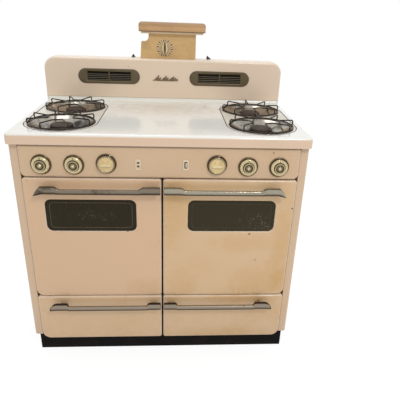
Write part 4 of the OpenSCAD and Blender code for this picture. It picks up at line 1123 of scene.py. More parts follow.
@dataclass
class BarHandle:
    """A cast bar with a raised shoulder at each end, carried on two feet.

    Its two sections are control polygons in half depths and half heights: slim between the shoulders,
    and full, with a flat top, on them.
    """

    grip: Grip
    side: str
    finish: Finish
    bar: float = 17 * MM
    depth: float = 13 * MM
    end_round: float = 3 * MM
    foot_width: float = 28 * MM
    inner_foot: float = 14 * MM
    slim: tuple[tuple[float, float], ...] = (
        (0.9, -1.0), (0.0, -1.05), (-0.8, -1.0), (-1.08, -0.45), (-0.95, 0.15), (-0.55, 0.8), (-0.1, 1.04),
        (0.55, 1.0), (1.0, 0.6), (1.02, -0.6))
    full: tuple[tuple[float, float], ...] = (
        (0.9, -1.0), (0.0, -1.05), (-0.8, -1.0), (-1.1, -0.45), (-1.06, 0.4), (-1.02, 1.06), (-0.5, 1.1),
        (0.5, 1.06), (1.1, 1.1), (1.02, -0.6))

    def _top(self, s: Array, length: float) -> Array:
        """Upper edge of the bar over its length.

        Each shoulder falls to the bar on half a cosine. The outer end of a door's bar falls to a point on a
        quarter of a sine; a drawer's is a quarter ellipse down to the lower edge.
        """
        sizes = BAR_SIZES[self.grip]
        outer = step(s, length - sizes.outer_step[0], length - sizes.outer_step[1])
        height = self.bar + sizes.rise * (1 - step(s, *sizes.inner_step) + outer)
        crest = self.bar + sizes.rise
        if self.grip is Grip.DOOR:
            t = np.clip((length - s) / sizes.end, 0, 1)
            return np.where(t < 1, (crest + sizes.drop) * np.sin(math.pi / 2 * t) - sizes.drop, height)
        t = np.clip((s - length + sizes.end) / sizes.end, 0, 1)
        return np.where(t > 0, crest * np.sqrt(1 - t ** 2), height)

    def _bottom(self, s: Array, length: float) -> Array:
        """Lower edge of the bar: level, and bent down at a door handle's point."""
        drop = BAR_SIZES[self.grip].drop
        return -drop * step(s, length - 6 * drop, length + drop) if drop else 0 * s

    def build(self) -> bpy.types.Object:
        """Carries a rounded section along the bar, scaled between its lower and upper edge."""
        sizes = BAR_SIZES[self.grip]
        way = SIDES[self.side]
        node = f"{self.grip.value}_handle_{self.side}"
        low, high = box_of(node)
        inner = low[0] if way > 0 else -high[0]
        length = high[0] - low[0]
        base = low[2] + sizes.drop
        end = self.end_round
        fine = end * np.linspace(0, 1, 12) ** 2
        s = np.concatenate([fine, np.linspace(end, length - end, 150)[1:-1], length - fine[::-1]])
        close = np.sqrt(np.clip(1 - (1 - np.minimum(s, length - s) / end).clip(0) ** 2, 0, 1))
        bottom = self._bottom(s, length)
        top = np.maximum(self._top(s, length), bottom + 0.5 * MM)
        middle, half = (top + bottom) / 2, (top - bottom) / 2 * close
        shoulders = step(top, self.bar + 1 * MM, self.bar + 7 * MM)[:, None, None]
        slim, full = (closed_curve(np.array(corners), 40) for corners in (self.slim, self.full))
        section = slim * (1 - shoulders) + full * shoulders
        back = low[1] + self.depth
        swell = self.depth / 2 * (1 + 0.25 * step(-top, -self.bar - 12 * MM, -self.bar))
        y = (back - swell)[:, None] + (swell * np.maximum(close, 0.02))[:, None] * section[..., 0]
        z = base + middle[:, None] + half[:, None] * section[..., 1]
        x = way * (inner + s)[:, None] + 0 * y
        # Painted shade: the half of the section that faces down takes the dark tone colour.
        under = 0.95 * step(-section[..., 1], 0.0, 0.8)
        cap = step(section[..., 1], 0.8, 0.98) * shoulders[..., 0]
        if self.grip is Grip.DRAWER:
            cap = np.maximum(cap, step(s, length - 9 * MM, length - 3 * MM)[:, None])
        tone = np.maximum(under, cap * sizes.soot)
        shape = Shape().grid(np.stack([x, np.maximum(y, low[1]), z], axis=-1), tone=tone)
        for start in (self.inner_foot, length - sizes.outer_foot):
            shape.grid(self._foot(inner + start, base, back, high[1]) * [way, 1, 1], ends=True)
        body = f"{self.grip.value}_{self.side}"
        return shape.piece(f"{body}_handle", body, self.finish, [node])

    def _foot(self, start: float, base: float, back: float, face: float) -> Array:
        """A foot from the bar's back to the front's face, flared at its root."""
        level = np.linspace(0, 1, 8)
        bounds = (start, start + self.foot_width, base + 2 * MM, base + 8.5 * MM)
        rings = []
        for flare, share in zip(1.5 * MM * level ** 3, level):
            x0, x1, z0, z1 = bounds
            loop = rounded_loop(x0 - flare, x1 + flare, z0 - flare, z1 + flare, [2.5 * MM + flare] * 4, 4, 5)
            rings.append(standing(loop, back - 2 * MM + (face - back + 2 * MM) * share))
        return np.stack(rings)


def closed_curve(corners: Array, count: int) -> Array:
    """Points on the closed uniform cubic B-spline of a control polygon.

    Args:
        corners: Control points, one to a row.
        count: Points wanted.

    Returns:
        Array of points, evenly spread in the curve's parameter.
    """
    n = len(corners)
    u = np.arange(count) * n / count
    i, t = u.astype(int), (u - u.astype(int))[:, None]
    weights = ((1 - t) ** 3, 3 * t ** 3 - 6 * t ** 2 + 4, -3 * t ** 3 + 3 * t ** 2 + 3 * t + 1, t ** 3)
    return sum(w * corners[(i + k) % n] for k, w in enumerate(weights)) / 6


# ---------------------------------------------------------------- controls


def back_middle(node: str) -> Array:
    """Middle of a turned node's back."""
    middle = middle_of(node)
    middle[1] = box_of(node)[1][1]
    return middle


def clock_point(angle: float) -> Array:
    """Step (x, z) of length 1 at an angle turned clockwise from straight up."""
    return np.array([math.sin(angle), math.cos(angle)])


@dataclass
class Controls:
    """Knobs, dials and their rings on the control panel."""

    ring_radius: float = 35 * MM
    skirt: float = 29 * MM
    dial_radius: float = 29.5 * MM
    teeth: int = 60
    flute: float = 0.35 * MM
    proud: float = 0.08 * MM
    ticks: int = 24
    figures: str = "2345"
    figure_radius: float = 15.6 * MM
    figure_size: float = 5.2 * MM

    def build(self) -> None:
        """Builds the rings, the four burner knobs and the two oven dials."""
        self._rings()
        for k in range(1, 5):
            self._knob(k)
        for side in SIDES:
            self._dial(side)

    def _rings(self) -> None:
        """Stepped ring behind each knob and dial: an outer bead, a groove and an inner bead."""
        r = self.ring_radius / MM
        profile = softened(np.array([
            [9, 0], [r, 0], [r, 1.4], [r - 0.8, 3.6], [r - 2.6, 4.6], [r - 3.8, 3.2], [r - 4.6, 3.2],
            [r - 5.2, 5.6], [r - 7, 6], [r - 9, 4.5], [9, 4.5], [9, 0]]) * MM, 0.9 * MM, 4)
        inset = self.ring_radius - profile[:, 0]
        tone = np.where((inset > 3.4 * MM) & (inset < 5 * MM), 1.0, 0.0)
        shape = Shape()
        for node in [f"burner_knob_{k}" for k in range(1, 5)] + [f"oven_dial_{side}" for side in SIDES]:
            centre = back_middle(node)
            centre[1] = box_of("knob_bezels")[1][1]
            shape.grid(turned(profile, centre, Axis.FRONT, 96), tone=tone)
        shape.piece("knob_rings", "chassis", RING, ["knob_bezels"])

    def _knob(self, k: int) -> None:
        """A burner knob: convex skirt, low waist, rolled rim, and a button in the cup."""
        node = f"burner_knob_{k}"
        centre = back_middle(node)
        edge = self.skirt / MM
        profile = softened(np.array([
            [0, 0], [edge, 0], [edge + 0.9, 2], [edge - 0.5, 4.6], [26.4, 6.5], [22.6, 7.4], [20.2, 7.7],
            [19.3, 9], [18.9, 12.2], [18.1, 13.9], [16.4, 14.5], [14.4, 14.2], [12.8, 12.8], [11.8, 11],
            [9.2, 11], [8.6, 12.2], [7.4, 12.2], [6.8, 11.2], [6.2, 12.8], [4.8, 14.6], [2.4, 15],
            [0, 15]]) * MM, 0.9 * MM, 5)
        r, h = profile[:, 0] / MM, profile[:, 1] / MM
        dark = (r < 20.4) & (r > 6.6) & (h > 7.4)
        rolled = (h > 13.8) & (r > 14.2) & (r < 17.4) | (h > 12) & (r < 8.8)
        tone = np.where(dark, np.where(rolled, 0.25, 0.9), 0.0)

        def fluted(wide: Array, high: Array, angle: Array) -> Array:
            """Fine flutes round the waist: a cosine swing of its radius, most at 11 mm of height."""
            share = np.exp(-((high - 11 * MM) / (1.6 * MM)) ** 2)
            return wide - share * self.flute * (0.5 + 0.5 * np.cos(self.teeth * angle)) * (wide > 18 * MM)

        shape = Shape().grid(turned(profile, centre, Axis.FRONT, 240, fluted), tone=tone)
        mark = rounded_loop(centre[0] - 1.2 * MM, centre[0] + 1.2 * MM, centre[2] + 20.8 * MM,
                            centre[2] + self.skirt - 2 * MM, [1 * MM] * 4, 3, 4)
        shape.slab(mark, centre[1] - 8 * MM, centre[1] - 5 * MM, 0.6 * MM, tone=1.0)
        shape.piece(f"burner_knob_{k}_turned", f"knob_{k}", SKIRT, [node])

    def _dial(self, side: str) -> None:
        """An oven dial: a domed ivory face in a turned rim, with ticks, plain figures and a grip."""
        node = f"oven_dial_{side}"
        centre = back_middle(node)
        flat = centre[[0, 2]]
        rim = self.dial_radius
        body = f"dial_{side}"
        edge = rim / MM
        ring = softened(np.array([
            [edge - 6, 0], [edge, 0], [edge, 6], [edge - 1.4, 8.4], [edge - 3.4, 8.6], [edge - 4.4, 7.2],
            [edge - 6, 7], [edge - 6, 0]]) * MM, 1.2 * MM, 5)
        Shape().grid(turned(ring, centre, Axis.FRONT, 96)).piece(f"oven_dial_{side}_rim", body, RIM)
        radius = np.linspace(rim - 4.4 * MM, 0, 20)
        height = 7.4 * MM + 4.6 * MM * np.sqrt(np.clip(1 - (radius / (rim - 3 * MM)) ** 2, 0, 1))
        dome = np.concatenate([[[0, 3 * MM], [radius[0], 3 * MM]], np.stack([radius, height], axis=-1)])
        shape = Shape().grid(turned(dome, centre, Axis.FRONT, 96))

        def lift(pts: Array) -> Array:
            """Moves flat points (x, z) onto the dome, standing a little proud of it."""
            r = np.hypot(pts[..., 0] - centre[0], pts[..., 1] - centre[2])
            y = centre[1] - np.interp(r, radius[::-1], height[::-1]) - self.proud
            return np.stack([pts[..., 0], y, pts[..., 1]], axis=-1)

        for k in range(self.ticks + 1):
            out = clock_point(math.radians(-140 + 280 * k / self.ticks))
            long = 3.4 * MM if k % 4 == 0 else 2.0 * MM
            ends = flat + out * np.array([[rim - 6 * MM], [rim - 6 * MM - long]])
            shape.strokes(ends, np.array([out[1], -out[0]]) * 0.35 * MM, lift)
        for k, figure in enumerate(self.figures):
            points, faces = figure_mesh(figure, self.figure_size)
            place = flat + self.figure_radius * clock_point(math.radians(-105 + 70 * k))
            shape.sheet(lift(points + place), faces, 1.0)
        u = np.linspace(0, 1, 10)[:, None]
        loop = centred_loop(0, 0, 19 * MM, 4.6 * MM, 4.5 * MM, 8, 8)[None]
        scale = np.sqrt(1 - u ** 2) * 0.55 + 0.45 * (1 - u ** 6)
        grip = np.stack([centre[0] + loop[..., 0] * (0.93 + 0.07 * scale),
                         centre[1] - 10 * MM - 9.8 * MM * u + 0 * loop[..., 0],
                         centre[2] + loop[..., 1] * (0.35 + 0.65 * scale)], axis=-1)
        shape.grid(grip, ends=True, wear=np.linspace(0, 1, 10) ** 3)
        shape.piece(f"oven_dial_{side}_face", body, IVORY, [node])


@dataclass
class Plates:
    """The outlet, and the lamp's switch with its rocker, in the middle of the panel.

    Sizes in a pair are half a width and half a height.
    """

    outlet_hole: tuple[float, float] = (6.5 * MM, 13.5 * MM)
    switch_hole: tuple[float, float] = (4.5 * MM, 11.5 * MM)
    well: tuple[float, float] = (4.4 * MM, 3.6 * MM)
    well_place: float = 6.2 * MM
    slot: tuple[float, float] = (3.4 * MM, 0.7 * MM)
    slot_place: float = 1.7 * MM
    wall: float = 2 * MM

    def build(self) -> None:
        """Builds the three pieces."""
        self._outlet()
        self._frame("switch_plate", self.switch_hole).piece("switch_moulded", "chassis", PLATE, ["switch_plate"])
        self._rocker()

    def _frame(self, node: str, hole: tuple[float, float]) -> Shape:
        """A plate with a rounded front edge round a hole, with painted shade on its outer side and down the hole's
        walls.
        """
        low, high = box_of(node)
        x, z = middle_of(node)[[0, 2]]
        half, hole = ((high - low) / 2)[[0, 2]], np.array(hole)
        rows = [(half, self.wall), (half, 1.2 * MM), (half - 0.4 * MM, 0.4 * MM), (half - 1.4 * MM, 0.0),
                (hole + 0.8 * MM, 0.0), (hole, 0.8 * MM), (hole, self.wall)]
        rings = [standing(centred_loop(x, z, *reach, 2.2 * MM, 6, 4), low[1] + back) for reach, back in rows]
        # Painted shade: darker on the outer side and down the hole's walls, none on the face.
        return Shape().grid(np.stack(rings), tone=np.array([0.7, 0.3, 0, 0, 0, 0.7, 1.0]))

    def _outlet(self) -> None:
        """A plate, a moulded body behind it, and two dark wells, each with two slots; the wells and slots are
        painted shade of the openings.
        """
        low, high = box_of("outlet_plate")
        x, z = middle_of("outlet_plate")[[0, 2]]
        front, floor = low[1], low[1] + self.wall
        shape = self._frame("outlet_plate", self.outlet_hole)
        shape.slab(centred_loop(x, z, *self.outlet_hole, 2 * MM, 6, 4), front + 0.9 * MM, high[1], 0.5 * MM)
        # Painted shade: each well and its slots take the dark second colour.
        for place in (z - self.well_place, z + self.well_place):
            shape.slab(centred_loop(x, place, *self.well, 1.2 * MM, 4, 4), front + 0.8 * MM, floor, 0.2 * MM,
                       tone=0.85)
            for level in (place - self.slot_place, place + self.slot_place):
                shape.slab(centred_loop(x, level, *self.slot, 0.5 * MM, 4, 3), front + 0.7 * MM, floor,
                           0.05 * MM, tone=1.0)
        shape.piece("outlet_moulded", "chassis", PLATE, ["outlet_plate"])

    @staticmethod
    def _rocker() -> None:
        """The rocker: a dark cheek across its whole width and a pale ridge down its middle."""
        low, high = box_of("switch_rocker")
        middle, half = (low + high) / 2, (high - low) / 2
        u, v = np.linspace(-1, 1, 12)[None, :], np.linspace(-1, 1, 24)[:, None]
        shape = Shape()
        cheek = (half[0], half[2], 2.2 * MM, 0.0, high[1], 1.0)
        ridge = (1.9 * MM, 0.82 * half[2], 0.0, 1 * MM, high[1] - 4 * MM, 0.0)
        for wide, tall, drop, shift, rear, tone in (cheek, ridge):
            front = low[1] + drop + 2.2 * MM * (1 - v) / 2 + 1.2 * MM * np.abs(u) ** 3
            top = np.stack([middle[0] + shift + wide * u + 0 * v, front, middle[2] + tall * v + 0 * u], axis=-1)
            back = top[::-1].copy()
            back[..., 1] = rear
            shape.grid(np.concatenate([top, back]), around=False, looped=True, tone=tone)
        shape.piece("switch_rocker_moulded", "rocker", ROCKER, ["switch_rocker"])


def figure_mesh(text: str, size: float) -> tuple[Array, list[list[int]]]:
    """Makes a plain figure as a flat mesh.

    Args:
        text: The figure.
        size: Its height in metres.

    Returns:
        Points (x, z) centred on the figure's middle, and faces as lists of indices.
    """
    curve = bpy.data.curves.new("figure", "FONT")
    curve.body = text
    curve.size = size * 1.4
    curve.resolution_u = 3
    holder = placed("figure", curve)
    mesh = bpy.data.meshes.new_from_object(holder)
    points = np.empty(len(mesh.vertices) * 3)
    mesh.vertices.foreach_get("co", points)
    points = points.reshape(-1, 3)[:, :2]
    faces = [list(p.vertices) for p in mesh.polygons]
    bpy.data.objects.remove(holder)
    bpy.data.curves.remove(curve)
    bpy.data.meshes.remove(mesh)
    return points - (points.max(axis=0) + points.min(axis=0)) / 2, faces


# ---------------------------------------------------------------- burners


BURNER_KNOBS = {"front_left": 1, "back_left": 2, "front_right": 4, "back_right": 3}


@dataclass
class Burners:
    """Grates, drip bowls, burner heads and a dark bead that paints the shade of the seam round each well."""

    wire: float = 3 * MM
    drawn: float = 2.6 * MM
    ring_radius: float = 113 * MM
    well_radius: float = 126 * MM

    def build(self) -> None:
        """Builds the wires, bowls, heads and seams of all four burners."""
        centres = {}
        for name in BURNER_KNOBS:
            low, high = box_of(f"grate_{name}")
            centres[name] = np.array([(low[0] + high[0]) / 2, (low[1] + high[1]) / 2, low[2] + self.wire])
        for name, centre in centres.items():
            turn = 25 if name.endswith("right") else 0
            self._grate(name, centre, math.radians(turn), box_of(f"grate_{name}")[1][2] - self.wire)
        self._bowls(list(centres.values()))
        self._heads(centres)
        self._seams(centres)

    def _grate(self, name: str, centre: Array, turn: float, top: float) -> None:
        """A wire ring with four hairpin fingers that rise at the ring and narrow towards the middle."""
        shape = Shape()
        angle = ring_angles(128)
        ring = np.stack([np.cos(angle), np.sin(angle), 0 * angle], axis=-1) * self.ring_radius + centre
        shape.grid(tube(ring, self.drawn, 12, closed=True), looped=True)
        spread = math.radians(24)
        rise = top - centre[2]
        foot = np.array([self.ring_radius * math.cos(spread), self.ring_radius * math.sin(spread), 0])
        half = np.array([[foot[0], foot[1], 0], [foot[0] + 3 * MM, foot[1], rise * 0.55],
                         [foot[0] + 1 * MM, foot[1] - 1 * MM, rise], [70 * MM, 27 * MM, rise - 1 * MM],
                         [44 * MM, 17 * MM, rise - 2.5 * MM]])
        line = np.concatenate([half * [1, -1, 1], [[42 * MM, 0, rise - 3 * MM]], half[::-1]])
        path = softened(line, 8 * MM, 7)
        for k in range(4):
            a = turn + k * math.pi / 2
            spin = np.array([[math.cos(a), math.sin(a), 0], [-math.sin(a), math.cos(a), 0], [0, 0, 1]])
            shape.grid(tube(path @ spin + centre, self.drawn * 0.92, 12), ends=True)
        shape.piece(f"grate_{name}_wire", "chassis", WIRE, [f"grate_{name}"])

    def _bowls(self, centres: list[Array]) -> None:
        """Pressed bowls: a flat rim with a rolled edge, two slopes and a lip round the burner's hole."""
        top = box_of("drip_bowls")[1][2]
        t = 0.8 * MM
        line = np.array([[118, -0.8], [118, 0], [111, 0.2], [107, -1.5], [98, -9], [82, -17], [64, -26.5],
                         [52, -27.6], [48.5, -26.5], [47, -24]]) * MM
        outer = softened(line, 5 * MM, 6)
        inner = outer[::-1] + np.array([0, -t])
        profile = np.concatenate([outer, inner])
        shape = Shape()
        for centre in centres:
            place = np.array([centre[0], centre[1], top])
            shape.grid(turned(profile, place, Axis.UP, 96), looped=True, wear=0.0)
        shape.piece("drip_bowls_pressed", "chassis", BOWL, ["drip_bowls"])

    def _heads(self, centres: dict[str, Array]) -> None:
        """Cast heads with a ring of ports, domed caps and the mixing tubes that run forward."""
        low, high = box_of("burners")
        cap_top = high[2]
        head = np.array([[27, -58], [29, -40], [33, -24], [35.5, -16], [35.5, -11], [34, -10.5], [33, -18],
                         [25, -20], [25, -36], [24, -56], [27, -58]]) * MM
        cap = np.array([[0, -10.5], [30, -10.5], [38.5, -10.2], [40, -9], [40, -6], [38.5, -3.2], [35, -1.6],
                        [24, -0.4], [20, -1.3], [12, -1.5], [0, -1.2]]) * MM
        mouth_z = middle_of("burner_valves")[2]
        shape = Shape()

        def ported(wide: Array, tall: Array, angle: Array) -> Array:
            """Ports: the radius of the head's upper band is cut 32 times by 1.5 mm."""
            band = np.exp(-((tall + 14 * MM) / (2.4 * MM)) ** 2) * (wide > 34 * MM)
            return wide - 1.5 * MM * band * (np.cos(32 * angle) > 0.2)

        for name, centre in centres.items():
            place = np.array([centre[0], centre[1], cap_top])
            shape.grid(turned(softened(head, 1.5 * MM, 4), place, Axis.UP, 192, ported))
            shape.grid(turned(softened(cap, 2.5 * MM, 5), place, Axis.UP, 96))
            mouth = np.array([middle_of(f"burner_knob_{BURNER_KNOBS[name]}")[0], low[1] + 5 * MM, mouth_z])
            bend = np.array([mouth, mouth + [0, 22 * MM, 0], [place[0], place[1] - 24 * MM, place[2] - 52 * MM],
                             place - [0, 0, 46 * MM]])
            path = softened(bend, 30 * MM, 8)
            width = np.interp(np.linspace(0, 1, len(path)), [0, 0.1, 0.3, 1], [13 * MM, 13 * MM, 10 * MM, 11 * MM])
            shape.grid(tube(path, width, 20), ends=True)
        shape.piece("burner_heads", "chassis", BURNER, ["burners"])

    def _seams(self, centres: dict[str, Array]) -> None:
        """A dark flat bead along a stadium outline, painted shade in the gap where each tray meets the cooktop,
        with some grime.
        """
        level = box_of("burner_trays")[1][2]
        for side in SIDES:
            front, back = centres[f"front_{side}"], centres[f"back_{side}"]
            r = self.well_radius
            loop = rounded_loop(front[0] - r, front[0] + r, front[1] - r, back[1] + r, [r - 0.1 * MM] * 4, 40, 24)
            ring = tube(lying(loop, level), 1.9 * MM, 10, closed=True)
            ring[..., 2] = level + (ring[..., 2] - level) * 0.55
            Shape().grid(ring, looped=True).piece(f"well_gap_shade_{side}", "chassis", SEAM)


# ---------------------------------------------------------------- backguard and console


@dataclass
class Backguard:
    """The louvred vents and the plain winged bar on the backguard."""

    blades: int = 4
    size: tuple[float, float] = (258 * MM, 61 * MM)
    slot: tuple[float, float] = (182 * MM, 37 * MM)

    def build(self) -> None:
        """Builds both vents and the bar."""
        low, high = box_of("vent_grilles")
        frame_shape, blade_shape = Shape(), Shape()
        plane = float(box_of("ornament_bar")[1][1])
        middle_z = (low[2] + high[2]) / 2
        for s in SIDES.values():
            x = s * (high[0] - self.size[0] / 2)
            self._vent(frame_shape, blade_shape, x, middle_z, low[1], plane)
        frame_shape.piece("vent_frames", "chassis", VENT, ["vent_grilles"])
        blade_shape.piece("vent_blades", "chassis", VENT_BLADES)
        self._bar(plane)

    def _vent(self, frame_shape: Shape, blade_shape: Shape, x: float, z: float, front: float, plane: float) -> None:
        """One vent: a stadium frame with a rolled edge, a folded slot, curved blades and a centre bar; painted
        shade darkens the frame's outer wall and slot wall, and a near-black plate behind the blades paints the dark
        inside.
        """
        half, slot = np.array(self.size) / 2, np.array(self.slot) / 2
        r = half[1] - 0.1 * MM
        outer = [(0.0, plane), (0.0, front + 1.6 * MM), (0.5 * MM, front + 0.5 * MM), (1.8 * MM, front)]
        inner = [(-4 * MM, front), (-1.2 * MM, front + 0.6 * MM), (0.0, front + 2 * MM), (0.0, plane + 6 * MM)]
        rings = [standing(centred_loop(x, z, *(reach - inset), radius - inset, 12, 14), y)
                 for reach, radius, rows in ((half, r, outer), (slot, 3 * MM, inner)) for inset, y in rows]
        # Painted shade: the outer wall is darkest where it meets the backguard, and the slot wall a little darker
        # at its back.
        frame_shape.grid(np.stack(rings), tone=np.array([0.9, 0.8, 0.55, 0.1, 0, 0, 0, 0.3]))
        bar = centred_loop(x, z, 2.4 * MM, slot[1], 0.6 * MM, 6, 3)
        frame_shape.slab(bar, front - 0.2 * MM, plane + 6 * MM, 1.2 * MM)
        across = np.linspace(-slot[0], slot[0], 24)[:, None]
        arc = np.linspace(-1, 1, 9)
        for k in range(1, self.blades + 1):
            level = z - slot[1] + 2 * slot[1] * k / (self.blades + 1)
            y = plane - 1 * MM + 5 * MM * (arc + 1) / 2
            top = level + 3.2 * MM * arc - 1.1 * MM * (1 - arc ** 2)
            section = np.concatenate([np.stack([y, top], axis=-1), np.stack([y, top - 0.9 * MM], axis=-1)[::-1]])
            around = ring_angles(12)
            bead = np.stack([y[0] + 1.1 * MM * np.cos(around), top[0] + 1.1 * MM * np.sin(around)], axis=-1)
            for line, wear in ((section, 0.0), (bead, 0.5)):
                grid = np.stack([x + across + 0 * line[None, :, 0], line[None, :, 0] + 0 * across,
                                 line[None, :, 1] + 0 * across], axis=-1)
                blade_shape.grid(grid, ends=True, wear=wear)
        # A near-black plate behind the blades, painted shade for the inside of the backguard.
        back = centred_loop(x, z, *(slot + 3 * MM), 2 * MM, 6, 3)
        blade_shape.slab(back, plane + 8.5 * MM, plane + 9.5 * MM, 0.2 * MM, tone=1.0)

    def _bar(self, plane: float) -> None:
        """A plain ornament: a tapering bar with a row of slanted fins, tallest near both ends."""
        low, high = box_of("ornament_bar")
        middle, half = (low + high) / 2, (high - low) / 2
        s = np.linspace(-1, 1, 60)
        across = ring_angles(16)[None, :]
        thick = 2.4 * MM * np.sqrt(np.clip(1 - s ** 2, 0.0, 1))[:, None]
        line_z = low[2] + 5 * MM
        bar = np.stack([middle[0] + half[0] * s[:, None] + 0 * across,
                        plane - 1.4 * MM - thick / 2 * np.cos(across), line_z + thick * np.sin(across)], axis=-1)
        shape = Shape().grid(bar)
        for k in range(13):
            share = k / 12 * 2 - 1
            tall = (7.4 + 3.4 * math.cos(3 * math.pi * share) * (1 - 0.35 * share)) * MM
            t = np.linspace(-1, 1, 14)[:, None]
            width = 3.9 * MM * np.sqrt(np.clip(1 - t ** 4, 0, 1))
            fin = np.stack([middle[0] + half[0] * 0.86 * share + 3.6 * MM * t + width * np.cos(across),
                            plane - 1.4 * MM - 0.55 * width * np.sin(across),
                            line_z - 1.5 * MM + tall * (1 + t) + 0 * across], axis=-1)
            shape.grid(fin)
        shape.piece("ornament_fins", "chassis", BADGE, ["ornament_bar"])


@dataclass
class Console:
    """The lamp hood, its lens, the beads on the column, and the timer."""

    marks: int = 20
    scallops: int = 24
    printed: float = 2.75 * MM

    def build(self) -> None:
        """Builds the console's visible pieces."""
        self._hood()
        self._lens()
        self._beads()
        self._dial()
        self._pointer()

    def _hood(self) -> None:
        """The hood: a rounded outline whose top rolls over, open below, with a thin folded lower edge; painted
        shade darkens its lower edge and its upper roll.
        """
        low, high = box_of("lamp_hood")
        roll, sheet = 11 * MM, 1.5 * MM
        turn = np.linspace(0, math.pi / 2, 12)
        skins = []
        for thick in (0.0, sheet):
            r = roll - thick
            inset = np.concatenate([[1.2 * MM, 0.3 * MM, 0.0, 0.0], r * (1 - np.cos(turn))]) + thick
            level = np.concatenate([[low[2], low[2] + 1.5 * MM, low[2] + 5 * MM, low[2] + 16 * MM],
                                    high[2] - thick - r * (1 - np.sin(turn))])
            skins.append(np.stack([lying(rounded_loop(low[0] + i, high[0] - i, low[1] + i, high[1] - i,
                                                      [14 * MM - i] * 4, 20, 10), z)
                                   for i, z in zip(inset, level)]))
        shape = Shape()
        # Painted shade by row: dark at the lower edge, light just above it, and growing over the roll up to the
        # top.
        tone = np.concatenate([[1.0, 0.9, 0.15, 0.05], 0.3 + 0.3 * np.linspace(0, 1, 12)])
        for skin in skins:
            shape.capped(skin, tone=tone)
        shape.grid(np.stack([skins[0][0], skins[1][0]]), tone=1.0)
        shape.piece("lamp_hood_pressed", "chassis", HOOD, ["lamp_hood"])

    def _lens(self) -> None:
        """The lens: a bar with a rounded front lower edge and fine prisms along it."""
        low, high = box_of("lamp_lens")
        t = np.linspace(0, math.pi / 2, 8)
        r = 5 * MM
        front = np.stack([low[1] + r * (1 - np.sin(t)), low[2] + r * (1 - np.cos(t))], axis=-1)[::-1]
        section = np.concatenate([front, [[high[1], low[2]], [high[1], high[2]], [low[1], high[2]]]])
        x = np.linspace(low[0], high[0], 120)[:, None]
        prism = 0.25 * MM * np.cos(x * 2 * math.pi / (4.5 * MM))
        grid = np.stack([x + 0 * section[None, :, 0], section[None, :, 0] + 0 * x,
                         section[None, :, 1] + prism * (section[None, :, 1] < low[2] + 4 * MM)], axis=-1)
        grid[..., 2] = np.maximum(grid[..., 2], low[2])
        Shape().grid(grid, ends=True).piece("lamp_lens_moulded", "chassis", LENS, ["lamp_lens"])

    def _beads(self) -> None:
        """Rolled beads across the column: one at the neck, one under the lens and one at its foot."""
        low, high = box_of("lamp_column")
        neck = box_of("timer_dial")
        shape = Shape()
        spans = [(neck[1][2] - 2 * MM, low[0] + 40 * MM, high[0] - 2 * MM, 1.1 * MM),
                 (neck[1][2] + 10 * MM, low[0] + 40 * MM, high[0] - 2 * MM, 0.8 * MM),
                 (low[2] + 4 * MM, low[0] + 2 * MM, high[0] - 2 * MM, 1.3 * MM)]
        for z, x0, x1, r in spans:
            s = np.linspace(0, 1, 40)
            path = np.stack([x0 + (x1 - x0) * s, np.full(40, low[1]), np.full(40, z)], axis=-1)
            wide = r * np.sqrt(np.clip(1 - (2 * s - 1) ** 16, 0.02, 1))
            angle = ring_angles(12)[None, :]
            ring = np.stack([path[:, :1] + 0 * angle, path[:, 1:2] + 0.7 * wide[:, None] * np.cos(angle),
                             path[:, 2:] + wide[:, None] * np.sin(angle)], axis=-1)
            shape.grid(ring, ends=True, wear=0.5)
        shape.piece("lamp_column_beads", "chassis", COLUMN)

    def _dial(self) -> None:
        """The timer's dial: a thin plate with a scalloped rim and a ring of dark strokes."""
        low, high = box_of("timer_dial")
        centre = back_middle("timer_dial")
        centre[1] = box_of("lamp_column")[0][1]
        radius = (high[2] - low[2]) / 2
        plate = softened(np.array([[0, -0.5 * MM], [radius - 1 * MM, -0.5 * MM], [radius, 0.8 * MM],
                                   [radius - 1.5 * MM, 2 * MM], [radius - 8 * MM, 2.6 * MM], [0, 2.8 * MM]]),
                         0.8 * MM, 4)

        def scalloped(wide: Array, tall: Array, angle: Array) -> Array:
            """Scallops: the rim's radius swings by 1 mm, once for each."""
            rim = np.clip((wide - radius + 3 * MM) / (3 * MM), 0, 1)
            return wide - rim * MM * np.abs(np.cos(self.scallops / 2 * angle))

        def flat(pts: Array) -> Array:
            """Puts flat points (x, z) on the dial's printed level."""
            return np.stack([pts[..., 0], 0 * pts[..., 0] + centre[1] - self.printed, pts[..., 1]], axis=-1)

        shape = Shape().grid(turned(plate, centre, Axis.FRONT, 192, scalloped))
        for k in range(self.marks):
            out = clock_point(2 * math.pi * (k + 0.5) / self.marks)
            across = np.array([out[1], -out[0]]) * (2.5 if k % 2 else 1.5) * MM
            ends = centre[[0, 2]] + out * np.array([[radius - 1.5 * MM], [radius - 9 * MM]])
            shape.strokes(ends, across, flat)
        shape.piece("timer_dial_plate", "chassis", DIAL, ["timer_dial"])

    def _pointer(self) -> None:
        """The timer's knob: a round boss with a lens-shaped ridge, upright at rest, with painted shade in the cleft
        between its two ridges and on the boss.
        """
        low, high = box_of("timer_knob")
        centre = back_middle("timer_knob")
        length = (high[2] - low[2]) / 2
        tall = high[1] - low[1]
        disc = softened(np.array([[0, 0], [24, 0], [23.4, 2.4], [20, 4.4], [0, 5.4]]) * MM, 1.2 * MM, 5)
